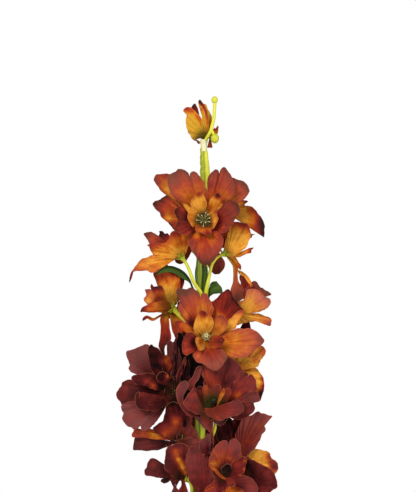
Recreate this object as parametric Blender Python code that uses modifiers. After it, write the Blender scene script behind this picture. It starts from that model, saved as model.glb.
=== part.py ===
"""A delphinium spray with orange and burgundy blooms, standing in a plain bottle vase.

The origin is the middle of the vase's foot, +Z is up and the spray's front faces -Y.
The tables below are in millimetres: a place is written as (right, front, up).
"""

import math

import bmesh
import bpy
from mathutils import Matrix, Vector
from mathutils.bvhtree import BVHTree

MM = 0.001

# Driving dimensions, in millimetres
HEAD_LOW = 385.0  # height above the table from which the blooms' heights are counted
VASE_HEIGHT = 235.0
VASE_BODY_RADIUS = 57.0
VASE_FOOT_RADIUS = 38.0
VASE_NECK_RADIUS = 14.5
VASE_LIP_RADIUS = 18.0
VASE_WALL = 4.5
VASE_FLOOR = 8.0
VASE_STEPS = 20
WATER_LEVEL = 150.0
GAP = 0.3
STEM_RADIUS = 3.25
STEM_LOBE = 0.2  # how far the two lobes of the stem's section stand out, as a share of its radius
PEDICEL_RADIUS = 1.6
CALYX_RADIUS = 2.6
CORE_RADIUS = 3.4
PETAL_THICK = 0.85
PETAL_CLEAR = 1.1  # half thickness of the test blade that keeps two petals apart
ROOT_OUT = 2.0  # distance of a petal's root from the bloom's axis
ROOT_SPREAD = 2.0  # length of axis over which the roots lie, from the first, outer petal to the last
LEAF_THICK = 0.8
RING_ROLL = 14.0  # degrees by which each petal of a ring leans over its neighbour
ROOT_BEHIND = 0.8  # share of the root spread that lies behind the heart
BEND_AT = 0.45  # where along a petal its bow is set, from its root
BLADE_SWEEP = 0.16  # how far a blade's side edges fall behind its middle, as a share of its length
NOTCH_HALF = 0.2  # half width of the notch in a tip, as a share of half the blade's width
STEM_TAPER = 0.18  # share of its radius that the stem loses above its taper height
STEM_TAPER_HEIGHT = 600.0
CALYX_NECK = 5.0  # distance behind a calyx's end at which the pedicel starts to flare
CALYX_BACK = 2.2  # the same for the flare's second step
BUTTON_RADIUS = 1.9  # the button at the heart of an open bloom
BUTTON_TOP_RADIUS = 1.5
BUTTON_HEIGHT = 2.0
THREAD_COUNT = 5
THREAD_RADIUS = 0.6
THREAD_TIP_RADIUS = 0.5
THREAD_LEAN = 2.6  # how far a thread's tip stands out from the bloom's axis
BUD_STALK_RADIUS = 1.15
BUD_RADIUS = 2.5

# The stem's centre line: its foot on the vase's floor, then where it leans on the neck, then the head
STEM_LINE = [
    (21.0, 0, 8.8),
    (8.0, 0, 110),
    (-5.2, 0, 212),
    (-10.0, 0, 265),
    (-9.0, 0, 325),
    (-5.0, 0, 385),
    (-3.5, 0, 445),
    (-1.5, 0, 520),
    (-0.6, 0, 585),
    (-0.8, 0, 643),
]


def place(right, front, up):
    """A place in metres from one in millimetres as (right, front, up)."""
    return Vector((right, -front, up)) * MM


def petal(
    right, front, up, width, bow=4.0, cup=0.6, curl=0.0, twist=0.0, notch=0.0, shape="broad", via=None, face=None
):
    """One petal: its tip and the bend in its middle are offsets from the bloom's heart.

    Its inner side faces where the bloom does, unless it is given a face of its own.
    """
    return {
        "tip": place(right, front, up),
        "via": place(*via) if via else None,
        "face": place(*face).normalized() if face else None,
        "width": width * MM,
        "bow": bow * MM,
        "cup": cup,
        "curl": curl * MM,
        "twist": math.radians(twist),
        "notch": notch,
        "shape": shape,
        "ringed": False,
    }


def ring(facing, count, reach, rise, width, turn=0.0, bow=4.0, cup=0.6, curl=0.0, notch=0.0):
    """Petals at nearly even angles round a bloom that the photograph hides or leaves out."""
    axis = place(*facing).normalized()
    across = axis.orthogonal().normalized()
    other = axis.cross(across)
    petals = []
    for k in range(count):
        angle = math.radians(turn + 360 * k / count + 6 * math.sin(5 * k + turn))
        length = reach * (1 + 0.08 * math.sin(3 * k + turn))
        lift = rise * (1 + 0.3 * math.cos(2 * k + turn))
        tip = (across * math.cos(angle) + other * math.sin(angle)) * length + axis * lift
        face = Matrix.Rotation(math.radians(RING_ROLL), 3, tip) @ axis
        spec = petal(tip.x, -tip.y, tip.z, width, bow=bow, cup=cup, curl=curl, notch=notch)
        petals.append({**spec, "face": face, "ringed": True})
    return petals


def full_bloom(facing, reach=29.0, turn=0.0):
    """A bloom's usual petals: five broad ones outside and two small ones at the heart."""
    outer = ring(facing, 5, reach, 8, 25, turn=turn, bow=4, cup=0.5, curl=-2, notch=0.07)
    return outer + ring(facing, 2, reach * 0.5, 13, 14, turn=turn + 40, bow=2, cup=0.9)


# Blooms from the top down. Those with stamens are open, so their hearts can be seen.
BLOOMS = [
    {
        "name": "bloom_tip",
        "skin": "petal_gold",
        "heart": (-1.2, 0, 265.5),
        "facing": (-0.15, 0.1, 1),
        "drop": 0,
        "petals": [
            petal(-7, 5, 24.5, 18, cup=0.8, via=(-13, 8, 8)),
            petal(-10.5, -4, 25, 13, cup=0.9, via=(-13, -5, 8)),
            petal(-3.5, 2, 28.5, 13, cup=1.0, curl=1, via=(11, 4, 12)),
            petal(-4, -6, 26, 11, cup=0.9, via=(7, -8, 9)),
            petal(-6.5, 2, -4, 4, bow=0, cup=0.3, shape="point"),
            petal(5.5, 1, -7, 4.5, bow=0, cup=0.3, shape="point"),
            petal(10.5, -3, 7, 5, bow=0, cup=0.4, shape="point"),
        ],
    },
    {
        "name": "bloom_crown",
        "skin": "petal_orange",
        "heart": (-1, 15, 203),
        "facing": (0, 1, 0.12),
        "drop": 22,
        "stamens": 9.0,
        "petals": [
            petal(-13, 7, 38.5, 28, bow=5, cup=0.4, curl=-2, notch=0.1),
            petal(14, 7, 39.5, 24, bow=5, cup=0.5, curl=-2, notch=0.1),
            petal(34, 1, 25, 20, bow=3, cup=0.5, curl=-2),
            petal(-36, -1, 34, 19, bow=2, cup=0.8, curl=-1),
            petal(-38, 2, 12, 20, bow=2, cup=0.5, curl=-2),
            petal(-22, 13, -5, 22, bow=3, cup=0.8, curl=3),
            petal(25.5, 13, 8, 26, bow=3, cup=0.7, curl=1),
            petal(2, 8, -33, 27, cup=0.4, via=(1, 17, -10)),
            petal(-6, 10, 20, 19, bow=2, cup=0.8, curl=2),
            petal(11, 10, 19, 13, bow=2, cup=0.9, curl=2),
            petal(-16, 10, 11, 13, bow=2, cup=0.9),
            petal(12, 12, -3, 13, bow=2, cup=0.9),
            petal(-3, 13, -9, 16, bow=1, cup=0.8),
        ],
    },
    {
        "name": "bloom_shoulder",
        "skin": "petal_orange",
        "heart": (16, -8, 209),
        "facing": (0.75, -0.5, 0.25),
        "drop": 26,
        "petals": [
            petal(28.5, 6, -20, 15, cup=0.7, shape="point", via=(22, 9, 13), face=(0.3, 0.8, 0.5)),
            petal(16, 2, 8.5, 8, bow=2, cup=0.5, shape="point", face=(0, 1, 0)),
            petal(14, -20, 13, 21, bow=4),
            petal(18, -18, -9, 21, bow=4),
            petal(-4, -20, 12, 19, bow=4),
            petal(1, -20, -13, 21, bow=4),
        ],
    },
    {
        "name": "bloom_right_upper",
        "skin": "petal_gold",
        "heart": (15.5, 5, 178),
        "facing": (0.5, -0.35, 0.8),
        "drop": 31,
        "petals": [
            petal(14, 5, 23.5, 20, cup=0.7, via=(13, 8, 9), face=(-0.3, -0.85, 0.3)),
            petal(21, -8, 15, 17, bow=4),
            petal(4, -13, 20, 20, bow=4),
            petal(21, 2, 5, 5.5, bow=2, cup=0.4, shape="point", face=(0, 1, 0.2)),
            petal(11.5, 3, -12, 6, bow=3, cup=0.5, shape="point", face=(0, 1, 0)),
            petal(9.5, 8, -35, 15, cup=0.5, curl=2, shape="spoon", via=(9, 8, -10), face=(0.1, 1, 0.2)),
        ],
    },
    {
        "name": "bloom_left_upper",
        "skin": "petal_gold",
        "heart": (-18, 6, 177),
        "facing": (-0.62, -0.25, 0.72),
        "drop": 29,
        "petals": [
            petal(-10, 9, 13, 28, cup=0.7, curl=-1, via=(-9, 10, 3), face=(0.1, -0.9, 0.4)),
            petal(-27, 1, 16.5, 17, cup=0.7, via=(-18, 4, 3), face=(0.5, 0.75, 0.4)),
            petal(-16, -7, 19, 17, cup=0.7, bow=2, face=(0, 0.9, 0.3)),
            petal(-4, -5, 20, 17, cup=0.7, bow=-2, face=(0, 0.9, 0.3)),
            petal(-35, 6, -10, 14, cup=0.7, shape="point", via=(-27, 9, 4), face=(0.1, 0.85, 0.5)),
            petal(-39, 4, -19, 6, cup=0.5, shape="point", via=(-36, 6, -5), face=(0, 1, 0)),
            petal(2.5, -6, -6, 9, bow=2, cup=0.5),
        ],
    },
    {
        "name": "bloom_rear_upper",
        "skin": "petal_orange",
        "heart": (-3, -16, 203),
        "facing": (-0.1, -1, 0.1),
        "drop": 24,
        "stamens": 8.0,
        "petals": full_bloom((-0.1, -1, 0.1), reach=26, turn=18)
        + [petal(13.5, 3, -45, 12, cup=0.5, shape="spoon", via=(9, -1, -18))],
    },
    {
        "name": "bloom_left_middle",
        "skin": "petal_orange",
        "heart": (-25.5, 4, 140),
        "facing": (-0.9, -0.15, 0.3),
        "drop": 25,
        "petals": [
            petal(-4.5, 2, 29.5, 19, cup=0.7, curl=-2, via=(3, 6, 13), face=(-0.4, -0.85, 0.2)),
            petal(6, -4, 22, 15, cup=0.6, bow=-2, face=(0, 1, 0)),
            petal(-19.5, 5, 10, 19, cup=0.5, curl=-1, notch=0.1, via=(-8, 8, 7), face=(-0.3, 0.9, 0.3)),
            petal(-15, -2, 18, 18, cup=0.6, bow=3, notch=0.1, face=(-0.2, 0.9, 0)),
            petal(-23, 6, -5, 13, cup=0.7, via=(-12, 9, -3), face=(-0.2, -0.6, 0.7)),
            petal(-21, 3, -11.5, 5.5, cup=0.5, shape="point", bow=2, face=(0, 0.9, 0.4)),
            petal(-6, 5, -31, 12, cup=0.5, shape="spoon", via=(-5, 4, -14), face=(-0.2, 1, 0)),
            petal(4, 3, -26, 11, cup=0.5, via=(2, 4, -11), face=(0.2, 1, 0)),
            petal(-12, -16, 3, 18, bow=3),
        ],
    },
    {
        "name": "bloom_right_middle",
        "skin": "petal_gold",
        "heart": (27, 1, 137),
        "facing": (0.88, -0.1, 0.3),
        "drop": 25,
        "petals": [
            petal(22, 7, 6, 21, cup=0.5, curl=-1, notch=0.1, via=(8, 10, 5), face=(0.2, 0.95, 0.1)),
            petal(22, -3, 12, 15, cup=0.6, shape="point", via=(8, 0, 12), face=(0.1, 0.9, 0.3)),
            petal(-1, 0, 27, 11, cup=0.6, bow=-3, face=(0, 1, 0)),
            petal(8, -4, 21, 12, cup=0.6, bow=2, face=(0, 1, 0)),
            petal(21, 4, -9, 11, cup=0.5, curl=-2, bow=3, face=(0, 0.8, 0.6)),
            petal(10, -15, 11, 20, bow=4),
            petal(10, -15, -10, 20, bow=4),
            petal(2, -6, -21, 17, bow=3),
        ],
    },
    {
        "name": "bloom_front_middle",
        "skin": "petal_orange",
        "heart": (0.5, 17, 115),
        "facing": (0.05, 0.9, 0.42),
        "drop": 24,
        "stamens": 8.0,
        "petals": [
            petal(-9, 4, 37, 29, bow=4, cup=0.35, curl=-2, notch=0.14),
            petal(17.5, -2, 34, 22, bow=3, cup=0.5, curl=-1),
            petal(28, 3, 18, 12, bow=4, cup=0.8),
            petal(43, 5, -1, 23, bow=5, cup=0.4, curl=-2, notch=0.04),
            petal(-22.5, 6, 13, 12, bow=3, cup=0.7),
            petal(-14, 12, -13, 14, bow=3, cup=0.8, curl=-2),
            petal(3.5, 12, -24, 27, cup=0.4, via=(2, 15, -4)),
            petal(-1.5, 9, 21, 16, bow=1, cup=0.9, curl=3),
            petal(13.5, 7, 18.5, 13, bow=1, cup=0.9, curl=2),
            petal(12, 13, -2, 14, bow=1, cup=0.8, curl=-1),
            petal(-7, 12, -7, 9, bow=1, cup=0.8),
        ],
    },
    {
        "name": "bloom_rear_middle",
        "skin": "petal_orange",
        "heart": (-2, -17, 120),
        "facing": (0.25, -1, 0.2),
        "drop": 24,
        "stamens": 8.0,
        "petals": full_bloom((0.25, -1, 0.2), reach=27, turn=-10)
        + [petal(-20, 7, -27, 22, cup=0.5, via=(-13, 6, -8), face=(0, 1, 0))],
    },
    {
        "name": "bloom_right_gold",
        "skin": "petal_gold",
        "heart": (23, 4, 89),
        "facing": (0.88, 0.1, 0.25),
        "drop": 24,
        "petals": [
            petal(21.5, 3, 16, 17, cup=0.5, curl=-1, via=(9, 7, 10), face=(0, 1, 0.1)),
            petal(15.5, 3, -19, 21, cup=0.5, via=(23, 7, 7), face=(0.3, 0.95, 0)),
            petal(18.5, 7, 4, 11, cup=0.6, bow=3, face=(0, 0.9, 0.4)),
            petal(12, -17, 8, 20, bow=4),
            petal(9, -16, -13, 20, bow=4),
            petal(14, -4, 2, 10, cup=0.9, bow=1),
        ],
    },
    {
        "name": "bloom_left_dark",
        "skin": "petal_burgundy",
        "heart": (-26, 8, 77),
        "facing": (-0.45, 0.88, 0.08),
        "drop": 25,
        "petals": [
            petal(-28, 4, 28, 28, bow=3, cup=0.3, curl=-2),
            petal(-11.5, -1, 32, 17, bow=3, cup=0.7),
            petal(-28, 9, 9.5, 14, bow=3, cup=0.7),
            petal(-40, 1, -3, 21, bow=3, cup=0.4, curl=-2, notch=0.05),
            petal(-27, 6, -28, 32, bow=5, cup=0.3, curl=-2, notch=0.1),
            petal(-25, 14, -10, 15, bow=3, cup=0.7, curl=-2),
            petal(4, 1, 27, 14, bow=-2, cup=0.8, curl=2, face=(0, 1, 0)),
            petal(-14, -12, 4, 20, bow=3, face=(-0.9, -0.1, 0.2)),
            petal(-13, 9, 4, 11, bow=1, cup=0.9),
        ],
    },
    {
        "name": "bloom_front_low",
        "skin": "petal_burgundy",
        "heart": (6.5, 18, 67),
        "facing": (0, 0.8, 0.6),
        "drop": 24,
        "stamens": 7.0,
        "petals": [
            petal(7.5, 2, 33, 30, bow=3, cup=0.4, curl=1),
            petal(28.5, 3, 21, 20, bow=3, cup=0.6, curl=-1),
            petal(32, 4, 5, 17, bow=3, cup=0.5, curl=-2),
            petal(29.5, 5, -7, 18, bow=3, cup=0.5, curl=-2),
            petal(7, 15, -14, 29, bow=2, cup=0.5, curl=-3, via=(5, 13, -5)),
            petal(-27, 5, 5, 25, bow=4, cup=0.7, curl=1),
            petal(-18, 10, -2, 19, bow=3, cup=0.8),
            petal(-12, 4, 26, 9, bow=2, cup=0.7, curl=2),
            petal(-6, 7, 15, 12, bow=1, cup=0.9),
            petal(9, 7, 14, 14, bow=1, cup=0.9),
            petal(6, 13, 5, 7, bow=1, cup=0.8, curl=2),
        ],
    },
    {
        "name": "bloom_rear_low",
        "skin": "petal_burgundy",
        "heart": (-1, -17, 74),
        "facing": (-0.3, -1, 0.15),
        "drop": 24,
        "stamens": 8.0,
        "petals": full_bloom((-0.3, -1, 0.15), reach=27, turn=25)
        + [petal(-18, 7, 33, 22, cup=0.5, via=(-10, 6, 13), face=(0, 1, 0))],
    },
    {
        "name": "bloom_left_low",
        "skin": "petal_burgundy",
        "heart": (-20, 4, 42),
        "facing": (-0.8, 0.5, 0.2),
        "drop": 25,
        "petals": [
            petal(-9.5, 6, 22, 20, bow=-2, cup=0.8, curl=1, face=(0.2, 0.95, 0)),
            petal(-36, 6, 3, 11, bow=3, cup=0.7, face=(0, 0.8, 0.6)),
            petal(-35, 2, -6, 15, bow=2, cup=0.3, curl=-1, face=(0, 1, 0)),
            petal(-9, -15, 12, 20, bow=4),
            petal(-12, -15, -10, 20, bow=4),
            petal(-12, 7, 5, 11, bow=1, cup=0.9),
        ],
    },
    {
        "name": "bloom_right_low",
        "skin": "petal_burgundy",
        "heart": (24.5, 2, 31),
        "facing": (0.8, 0.35, 0.45),
        "drop": 26,
        "petals": [
            petal(25.5, 9, 26.5, 26, bow=3, cup=0.25, curl=-1, shape="leafy", face=(-0.1, 1, 0.1)),
            petal(-9, 2, 22, 16, bow=-1, cup=0.7, face=(0, 1, 0)),
            petal(17, -14, 14, 20, bow=4),
            petal(15, -15, -8, 20, bow=4),
            petal(11, 2, 10, 11, bow=1, cup=0.9),
        ],
    },
    {
        "name": "bloom_front_base",
        "skin": "petal_burgundy",
        "heart": (12.5, 17, 17),
        "facing": (0.15, 0.88, 0.3),
        "drop": 24,
        "stamens": 7.0,
        "petals": [
            petal(1.5, 4, 23, 23, bow=3, cup=0.5, notch=0.1),
            petal(20, 5, 9, 17, bow=3, cup=0.8, curl=2),
            petal(22, 8, -9, 22, bow=4, cup=0.5, curl=-2),
            petal(-12, 6, -22, 22, bow=4, cup=0.5, curl=-2),
            petal(8, 9, -26, 26, bow=5, cup=0.4, curl=-2, notch=0.08),
            petal(10, 10, 3, 13, bow=1, cup=0.9, curl=2),
            petal(-6, 10, 6, 12, bow=1, cup=0.9),
            petal(1, 13, -8, 12, bow=1, cup=0.8),
        ],
    },
    {
        "name": "bloom_right_base",
        "skin": "petal_burgundy",
        "heart": (29, 0, 14),
        "facing": (0.9, 0.2, 0.2),
        "drop": 26,
        "petals": [
            petal(24, 1, 6, 18, bow=3, cup=0.5, curl=-1, face=(-0.1, 0.85, 0.5)),
            petal(23, 8, -10, 25, bow=4, cup=0.4, curl=-1, face=(0.1, 1, 0.1)),
            petal(7, 8, -25, 22, bow=4, cup=0.5, face=(0.2, 1, 0)),
            petal(9, -17, 8, 20, bow=4),
            petal(9, -15, -14, 20, bow=4),
            petal(12, 2, 2, 10, bow=1, cup=0.9),
        ],
    },
    {
        "name": "bloom_left_base",
        "skin": "petal_burgundy",
        "heart": (-17, 6, 11),
        "facing": (-0.75, 0.5, 0.3),
        "drop": 25,
        "petals": [
            petal(-27.5, 3, 7, 15, bow=3, cup=0.5, curl=-1, notch=0.12, face=(0, 1, 0.1)),
            petal(-4.5, 5, 24, 18, bow=-2, cup=0.7, curl=1, face=(0.2, 0.95, 0)),
            petal(-9, 8, -19, 9, bow=4, cup=0.7, face=(0, 1, 0)),
            petal(-2, 8, -23, 10, bow=4, cup=0.6, face=(0, 1, 0)),
            petal(-10, -15, 10, 20, bow=4),
            petal(-13, -13, -12, 20, bow=4),
            petal(-10, 6, 4, 10, bow=1, cup=0.9),
        ],
    },
    {
        "name": "bloom_rear_base",
        "skin": "petal_burgundy",
        "heart": (-2, -17, 24),
        "facing": (0.2, -1, 0.15),
        "drop": 24,
        "stamens": 8.0,
        "petals": full_bloom((0.2, -1, 0.15), reach=29, turn=-5),
    },
    {
        "name": "bloom_front_last",
        "skin": "petal_burgundy",
        "heart": (-4, 17, -12),
        "facing": (-0.05, 0.9, 0.1),
        "drop": 22,
        "stamens": 7.0,
        "petals": [
            petal(2.5, 5, 53, 21, cup=0.3, shape="oval", via=(1, 8, 20), face=(0, 1, 0)),
            petal(-27, 4, 4, 23, bow=4, cup=0.5, curl=-2),
            petal(-18, 5, -24, 25, bow=4, cup=0.5, curl=-2, notch=0.08),
            petal(10, 5, -30, 25, bow=4, cup=0.5, curl=-2),
            petal(29, 4, -14, 24, bow=4, cup=0.5, curl=-2, notch=0.07),
            petal(-12, 9, 4, 13, bow=1, cup=0.9),
            petal(8, 10, 8, 13, bow=1, cup=0.9),
            petal(-3, 11, -12, 13, bow=1, cup=0.9),
        ],
    },
    {
        "name": "bloom_right_last",
        "skin": "petal_burgundy",
        "heart": (20, -4, -28),
        "facing": (0.85, -0.3, 0.1),
        "drop": 24,
        "petals": full_bloom((0.85, -0.3, 0.1), reach=28, turn=30),
    },
    {
        "name": "bloom_left_last",
        "skin": "petal_burgundy",
        "heart": (-28, -5, -34),
        "facing": (-0.85, -0.3, 0.1),
        "drop": 24,
        "petals": full_bloom((-0.85, -0.3, 0.1), reach=28, turn=5),
    },
]

# Leaves: the root's place beside the stem, then tip and bend as offsets from it, and where the leaf faces
LEAVES = [
    {
        "name": "leaf_arched",
        "root": (-5.6, -0.3, 147),
        "tip": (-31.3, 15, 15.5),
        "via": (-16, 9, 31.5),
        "face": (0.25, 0.7, 0.65),
        "width": 8.5,
        "cup": 0.5,
    },
    {
        "name": "leaf_bract_left",
        "root": (-4.4, 3.2, 138),
        "tip": (-2.5, 4, 41),
        "via": (-4, 5, 22),
        "face": (-0.3, 0.95, 0),
        "width": 6.5,
        "cup": 0.7,
    },
    {
        "name": "leaf_bract_right",
        "root": (1.8, 3.6, 139),
        "tip": (-1.5, 4, 33),
        "via": (2.5, 5, 18),
        "face": (0.3, 0.95, 0),
        "width": 6.5,
        "cup": 0.7,
    },
    {
        "name": "leaf_round",
        "root": (3.6, 1.5, 142),
        "tip": (13, 6, 4),
        "via": (6.5, 5, 20),
        "face": (0.2, 0.8, 0.5),
        "width": 13,
        "cup": 0.4,
    },
    {
        "name": "leaf_low_left",
        "root": (-14.2, 0.5, -84),
        "tip": (-44, 10, 10),
        "via": (-21, 9, 30),
        "face": (0.1, 0.6, 0.8),
        "width": 16,
        "cup": 0.5,
    },
    {
        "name": "leaf_low_right",
        "root": (-5.3, 1.5, -100),
        "tip": (47, 12, 3),
        "via": (24, 10, 29),
        "face": (-0.1, 0.6, 0.8),
        "width": 17,
        "cup": 0.5,
    },
    {
        "name": "leaf_low_rear",
        "root": (-8.2, -3.4, -94),
        "tip": (9, -46, 6),
        "via": (3, -24, 30),
        "face": (0, 0.3, 1),
        "width": 16,
        "cup": 0.5,
    },
]


def smooth_line(points, steps):
    """Points along a smooth curve through the given ones."""
    ends = [points[0] * 2 - points[1], *points, points[-1] * 2 - points[-2]]
    line = []
    for k in range(1, len(ends) - 2):
        before, start, end, after = ends[k - 1 : k + 3]
        for step in range(steps):
            t = step / steps
            line.append(
                (
                    start * 2
                    + (end - before) * t
                    + (before * 2 - start * 5 + end * 4 - after) * t**2
                    + (start * 3 - before - end * 3 + after) * t**3
                )
                * 0.5
            )
    return [*line, points[-1]]


def stem_centre(height):
    """The stem's centre at a height in metres, read between the points of its line."""
    line = [place(*p) for p in STEM_LINE]
    for low, high in zip(line, line[1:]):
        if height <= high.z:
            return low.lerp(high, (height - low.z) / (high.z - low.z))
    return line[-1]


def material(name, colour, roughness=0.6):
    made = bpy.data.materials.new(name)
    made.use_nodes = True
    shader = made.node_tree.nodes["Principled BSDF"]
    shader.inputs["Base Color"].default_value = (*colour, 1)
    shader.inputs["Roughness"].default_value = roughness
    shader.inputs["Metallic"].default_value = 0
    return made


def remove(obj):
    bpy.data.objects.remove(obj, do_unlink=True)


def mesh_object(name, mesh, collection):
    made = bpy.data.objects.new(name, mesh)
    collection.objects.link(made)
    return made


def frozen(obj, collection):
    """The object as a plain mesh with its modifiers applied and its points welded."""
    bpy.context.view_layer.update()
    graph = bpy.context.evaluated_depsgraph_get()
    mesh = bpy.data.meshes.new_from_object(obj.evaluated_get(graph))
    work = bmesh.new()
    work.from_mesh(mesh)
    bmesh.ops.remove_doubles(work, verts=work.verts, dist=1e-5)
    bmesh.ops.recalc_face_normals(work, faces=work.faces)
    work.to_mesh(mesh)
    work.free()
    made = mesh_object(obj.name + "_mesh", mesh, collection)
    made.matrix_world = obj.matrix_world.copy()
    remove(obj)
    return made


def main_body(mesh):
    """Keep only a mesh's largest shell, which fills sealed hollows and drops loose scraps."""
    work = bmesh.new()
    work.from_mesh(mesh)
    bmesh.ops.dissolve_degenerate(work, dist=1e-6, edges=work.edges)
    bmesh.ops.dissolve_limit(work, angle_limit=math.radians(0.5), verts=work.verts, edges=work.edges)
    bmesh.ops.triangulate(work, faces=work.faces)
    seen, shells = set(), []
    for face in work.faces:
        if face in seen:
            continue
        shell, waiting = [], [face]
        seen.add(face)
        while waiting:
            current = waiting.pop()
            shell.append(current)
            for edge in current.edges:
                for other in edge.link_faces:
                    if other not in seen:
                        seen.add(other)
                        waiting.append(other)
        shells.append(shell)
    volumes = [sum(f.verts[0].co.dot(f.verts[1].co.cross(f.verts[2].co)) for f in s) for s in shells]
    largest = volumes.index(max(volumes))
    for number, shell in enumerate(shells):
        if number != largest:
            bmesh.ops.delete(work, geom=shell, context="FACES")
    work.to_mesh(mesh)
    work.free()


def fused(name, pieces, skin, collection):
    """One solid from pieces that run into each other."""
    scraps = bpy.data.collections.new(name + "_pieces")
    bpy.context.scene.collection.children.link(scraps)
    base = pieces[0]
    for piece in pieces[1:]:
        for owner in piece.users_collection:
            owner.objects.unlink(piece)
        scraps.objects.link(piece)
    union = base.modifiers.new("union", "BOOLEAN")
    union.operation = "UNION"
    union.operand_type = "COLLECTION"
    union.collection = scraps
    union.solver = "MANIFOLD"
    bpy.context.view_layer.update()
    graph = bpy.context.evaluated_depsgraph_get()
    mesh = bpy.data.meshes.new_from_object(base.evaluated_get(graph))
    mesh.transform(base.matrix_world)
    for piece in pieces:
        remove(piece)
    bpy.data.collections.remove(scraps)
    main_body(mesh)
    mesh.name = name
    mesh.materials.clear()
    mesh.materials.append(skin)
    made = mesh_object(name, mesh, collection)
    mesh.shade_smooth()
    mesh.set_sharp_from_angle(angle=math.radians(50))
    return made


def tube(name, line, radii, sides_level, collection, section=None):
    """A curve along the line, round or with the given section, as a closed mesh."""
    curve = bpy.data.curves.new(name, "CURVE")
    curve.dimensions = "3D"
    curve.use_fill_caps = True
    curve.bevel_resolution = sides_level
    if section:
        curve.bevel_mode = "OBJECT"
        curve.bevel_object = section
    else:
        curve.bevel_depth = MM
    spline = curve.splines.new("POLY")
    spline.points.add(len(line) - 1)
    for point, co, radius in zip(spline.points, line, radii):
        point.co = (*co, 1)
        point.radius = radius
    return frozen(mesh_object(name, curve, collection), collection)


def ball(radius, centre, axis, segments, rings, collection, stretch=1.0):
    work = bmesh.new()
    turn = Vector((0, 0, 1)).rotation_difference(axis).to_matrix().to_4x4()
    bmesh.ops.create_uvsphere(
        work,
        u_segments=segments,
        v_segments=rings,
        radius=radius * MM,
        matrix=Matrix.Translation(centre) @ turn @ Matrix.Diagonal((1, 1, stretch, 1)),
    )
    mesh = bpy.data.meshes.new("ball")
    work.to_mesh(mesh)
    work.free()
    return mesh_object("ball", mesh, collection)


def stick(radius, top_radius, start, end, sides, collection):
    """A straight tapered stick from start to end."""
    axis = end - start
    work = bmesh.new()
    turn = Vector((0, 0, 1)).rotation_difference(axis).to_matrix().to_4x4()
    bmesh.ops.create_cone(
        work,
        cap_ends=True,
        segments=sides,
        radius1=radius * MM,
        radius2=top_radius * MM,
        depth=axis.length,
        matrix=Matrix.Translation((start + end) / 2) @ turn,
    )
    mesh = bpy.data.meshes.new("stick")
    work.to_mesh(mesh)
    work.free()
    return mesh_object("stick", mesh, collection)


# How a blade widens: the share of its width at the root, where it is widest, the share at the tip, and
# the power that holds it slim near the root
SHAPES = {
    "broad": (0.12, 0.72, 0.7, 1.6),
    "oval": (0.1, 0.6, 0.6, 2.0),
    "leafy": (0.15, 0.6, 0.1, 1.3),
    "point": (0.18, 0.45, 0.1, 1.1),
    "spoon": (0.2, 0.84, 0.6, 3.5),
}


def width_share(shape, v):
    root, widest, end, power = SHAPES[shape]
    if v < widest:
        return root + (1 - root) * math.sin(math.pi / 2 * v / widest) ** power
    return 1 - (1 - end) * ((v - widest) / (1 - widest)) ** 2


def blade_point(blade, u, v, grow=0.0):
    """A point on the blade's middle surface: u across from -1 to 1, v from root to tip."""
    root, via, tip = blade["root"], blade["via"], blade["tip"]
    dip = blade["notch"] * math.exp(-((u / NOTCH_HALF) ** 2)) * v**4
    t = v * (1 - BLADE_SWEEP * u * u) * (1 - dip)
    middle = root * (1 - t) ** 2 + via * 2 * t * (1 - t) + tip * t * t
    along = ((via - root) * (1 - t) + (tip - via) * t).normalized()
    side = (blade["side"] - along * blade["side"].dot(along)).normalized()
    normal = along.cross(side)
    if blade["twist"]:
        turn = Matrix.Rotation(blade["twist"] * t, 3, along)
        side, normal = turn @ side, turn @ normal
    half = blade["width"] / 2 * width_share(blade["shape"], v) + grow
    cup = blade["cup"]
    across = half * math.sin(cup * u) / cup
    lift = half * (1 - math.cos(cup * u)) / cup
    lift += blade["curl"] * max(0, (v - 0.6) / 0.4) ** 2
    return middle + side * across + normal * lift


def bloom_blade(bloom, spec, shift, scale):
    """The blade of a petal whose tip is shifted front or back by a few millimetres, and shortened."""
    facing, heart = bloom["facing"], bloom["heart"]
    tip = spec["tip"] * scale + place(0, shift, 0)
    out = (tip - facing * tip.dot(facing)).normalized()
    order = bloom["petals"].index(spec) / (len(bloom["petals"]) - 1)
    root = out * ROOT_OUT * MM + facing * (order - ROOT_BEHIND) * ROOT_SPREAD * MM
    if spec["via"]:
        via = spec["via"] * scale + place(0, shift * 0.4, 0)
    else:
        via = root.lerp(tip, BEND_AT) + facing * spec["bow"]
    face = spec["face"] or facing
    return {
        **spec,
        "root": heart + root,
        "via": heart + via,
        "tip": heart + tip,
        "side": face.cross(tip - root).normalized(),
    }


def blade_grid(blade, across, along, grow=0.0):
    """The blade's middle surface as an open mesh, split into triangles."""
    work = bmesh.new()
    bmesh.ops.create_grid(work, x_segments=across, y_segments=along, size=1)
    for vert in work.verts:
        vert.co = blade_point(blade, vert.co.x, (vert.co.y + 1) / 2, grow)
    bmesh.ops.triangulate(work, faces=work.faces, quad_method="SHORT_EDGE")
    work.normal_update()
    return work


def test_tree(blade, across, along):
    """A thick closed copy of the blade, whose crossings with other sheets show a clash."""
    work = blade_grid(blade, across, along, grow=PETAL_CLEAR * MM)
    count = len(work.verts)
    points = [v.co + v.normal * PETAL_CLEAR * MM for v in work.verts]
    points += [v.co - v.normal * PETAL_CLEAR * MM for v in work.verts]
    faces = [[v.index for v in f.verts] for f in work.faces]
    faces += [[i + count for i in reversed(f)] for f in faces]
    for edge in work.edges:
        if edge.is_boundary:
            a, b = (v.index for v in edge.verts)
            faces.append([a, b, b + count, a + count])
    work.free()
    return BVHTree.FromPolygons(points, faces)


def sheet_tree(blade, across, along):
    work = blade_grid(blade, across, along)
    tree = BVHTree.FromBMesh(work)
    work.free()
    return tree


def object_tree(obj):
    points = [obj.matrix_world @ v.co for v in obj.data.vertices]
    return BVHTree.FromPolygons(points, [list(p.vertices) for p in obj.data.polygons])


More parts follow.
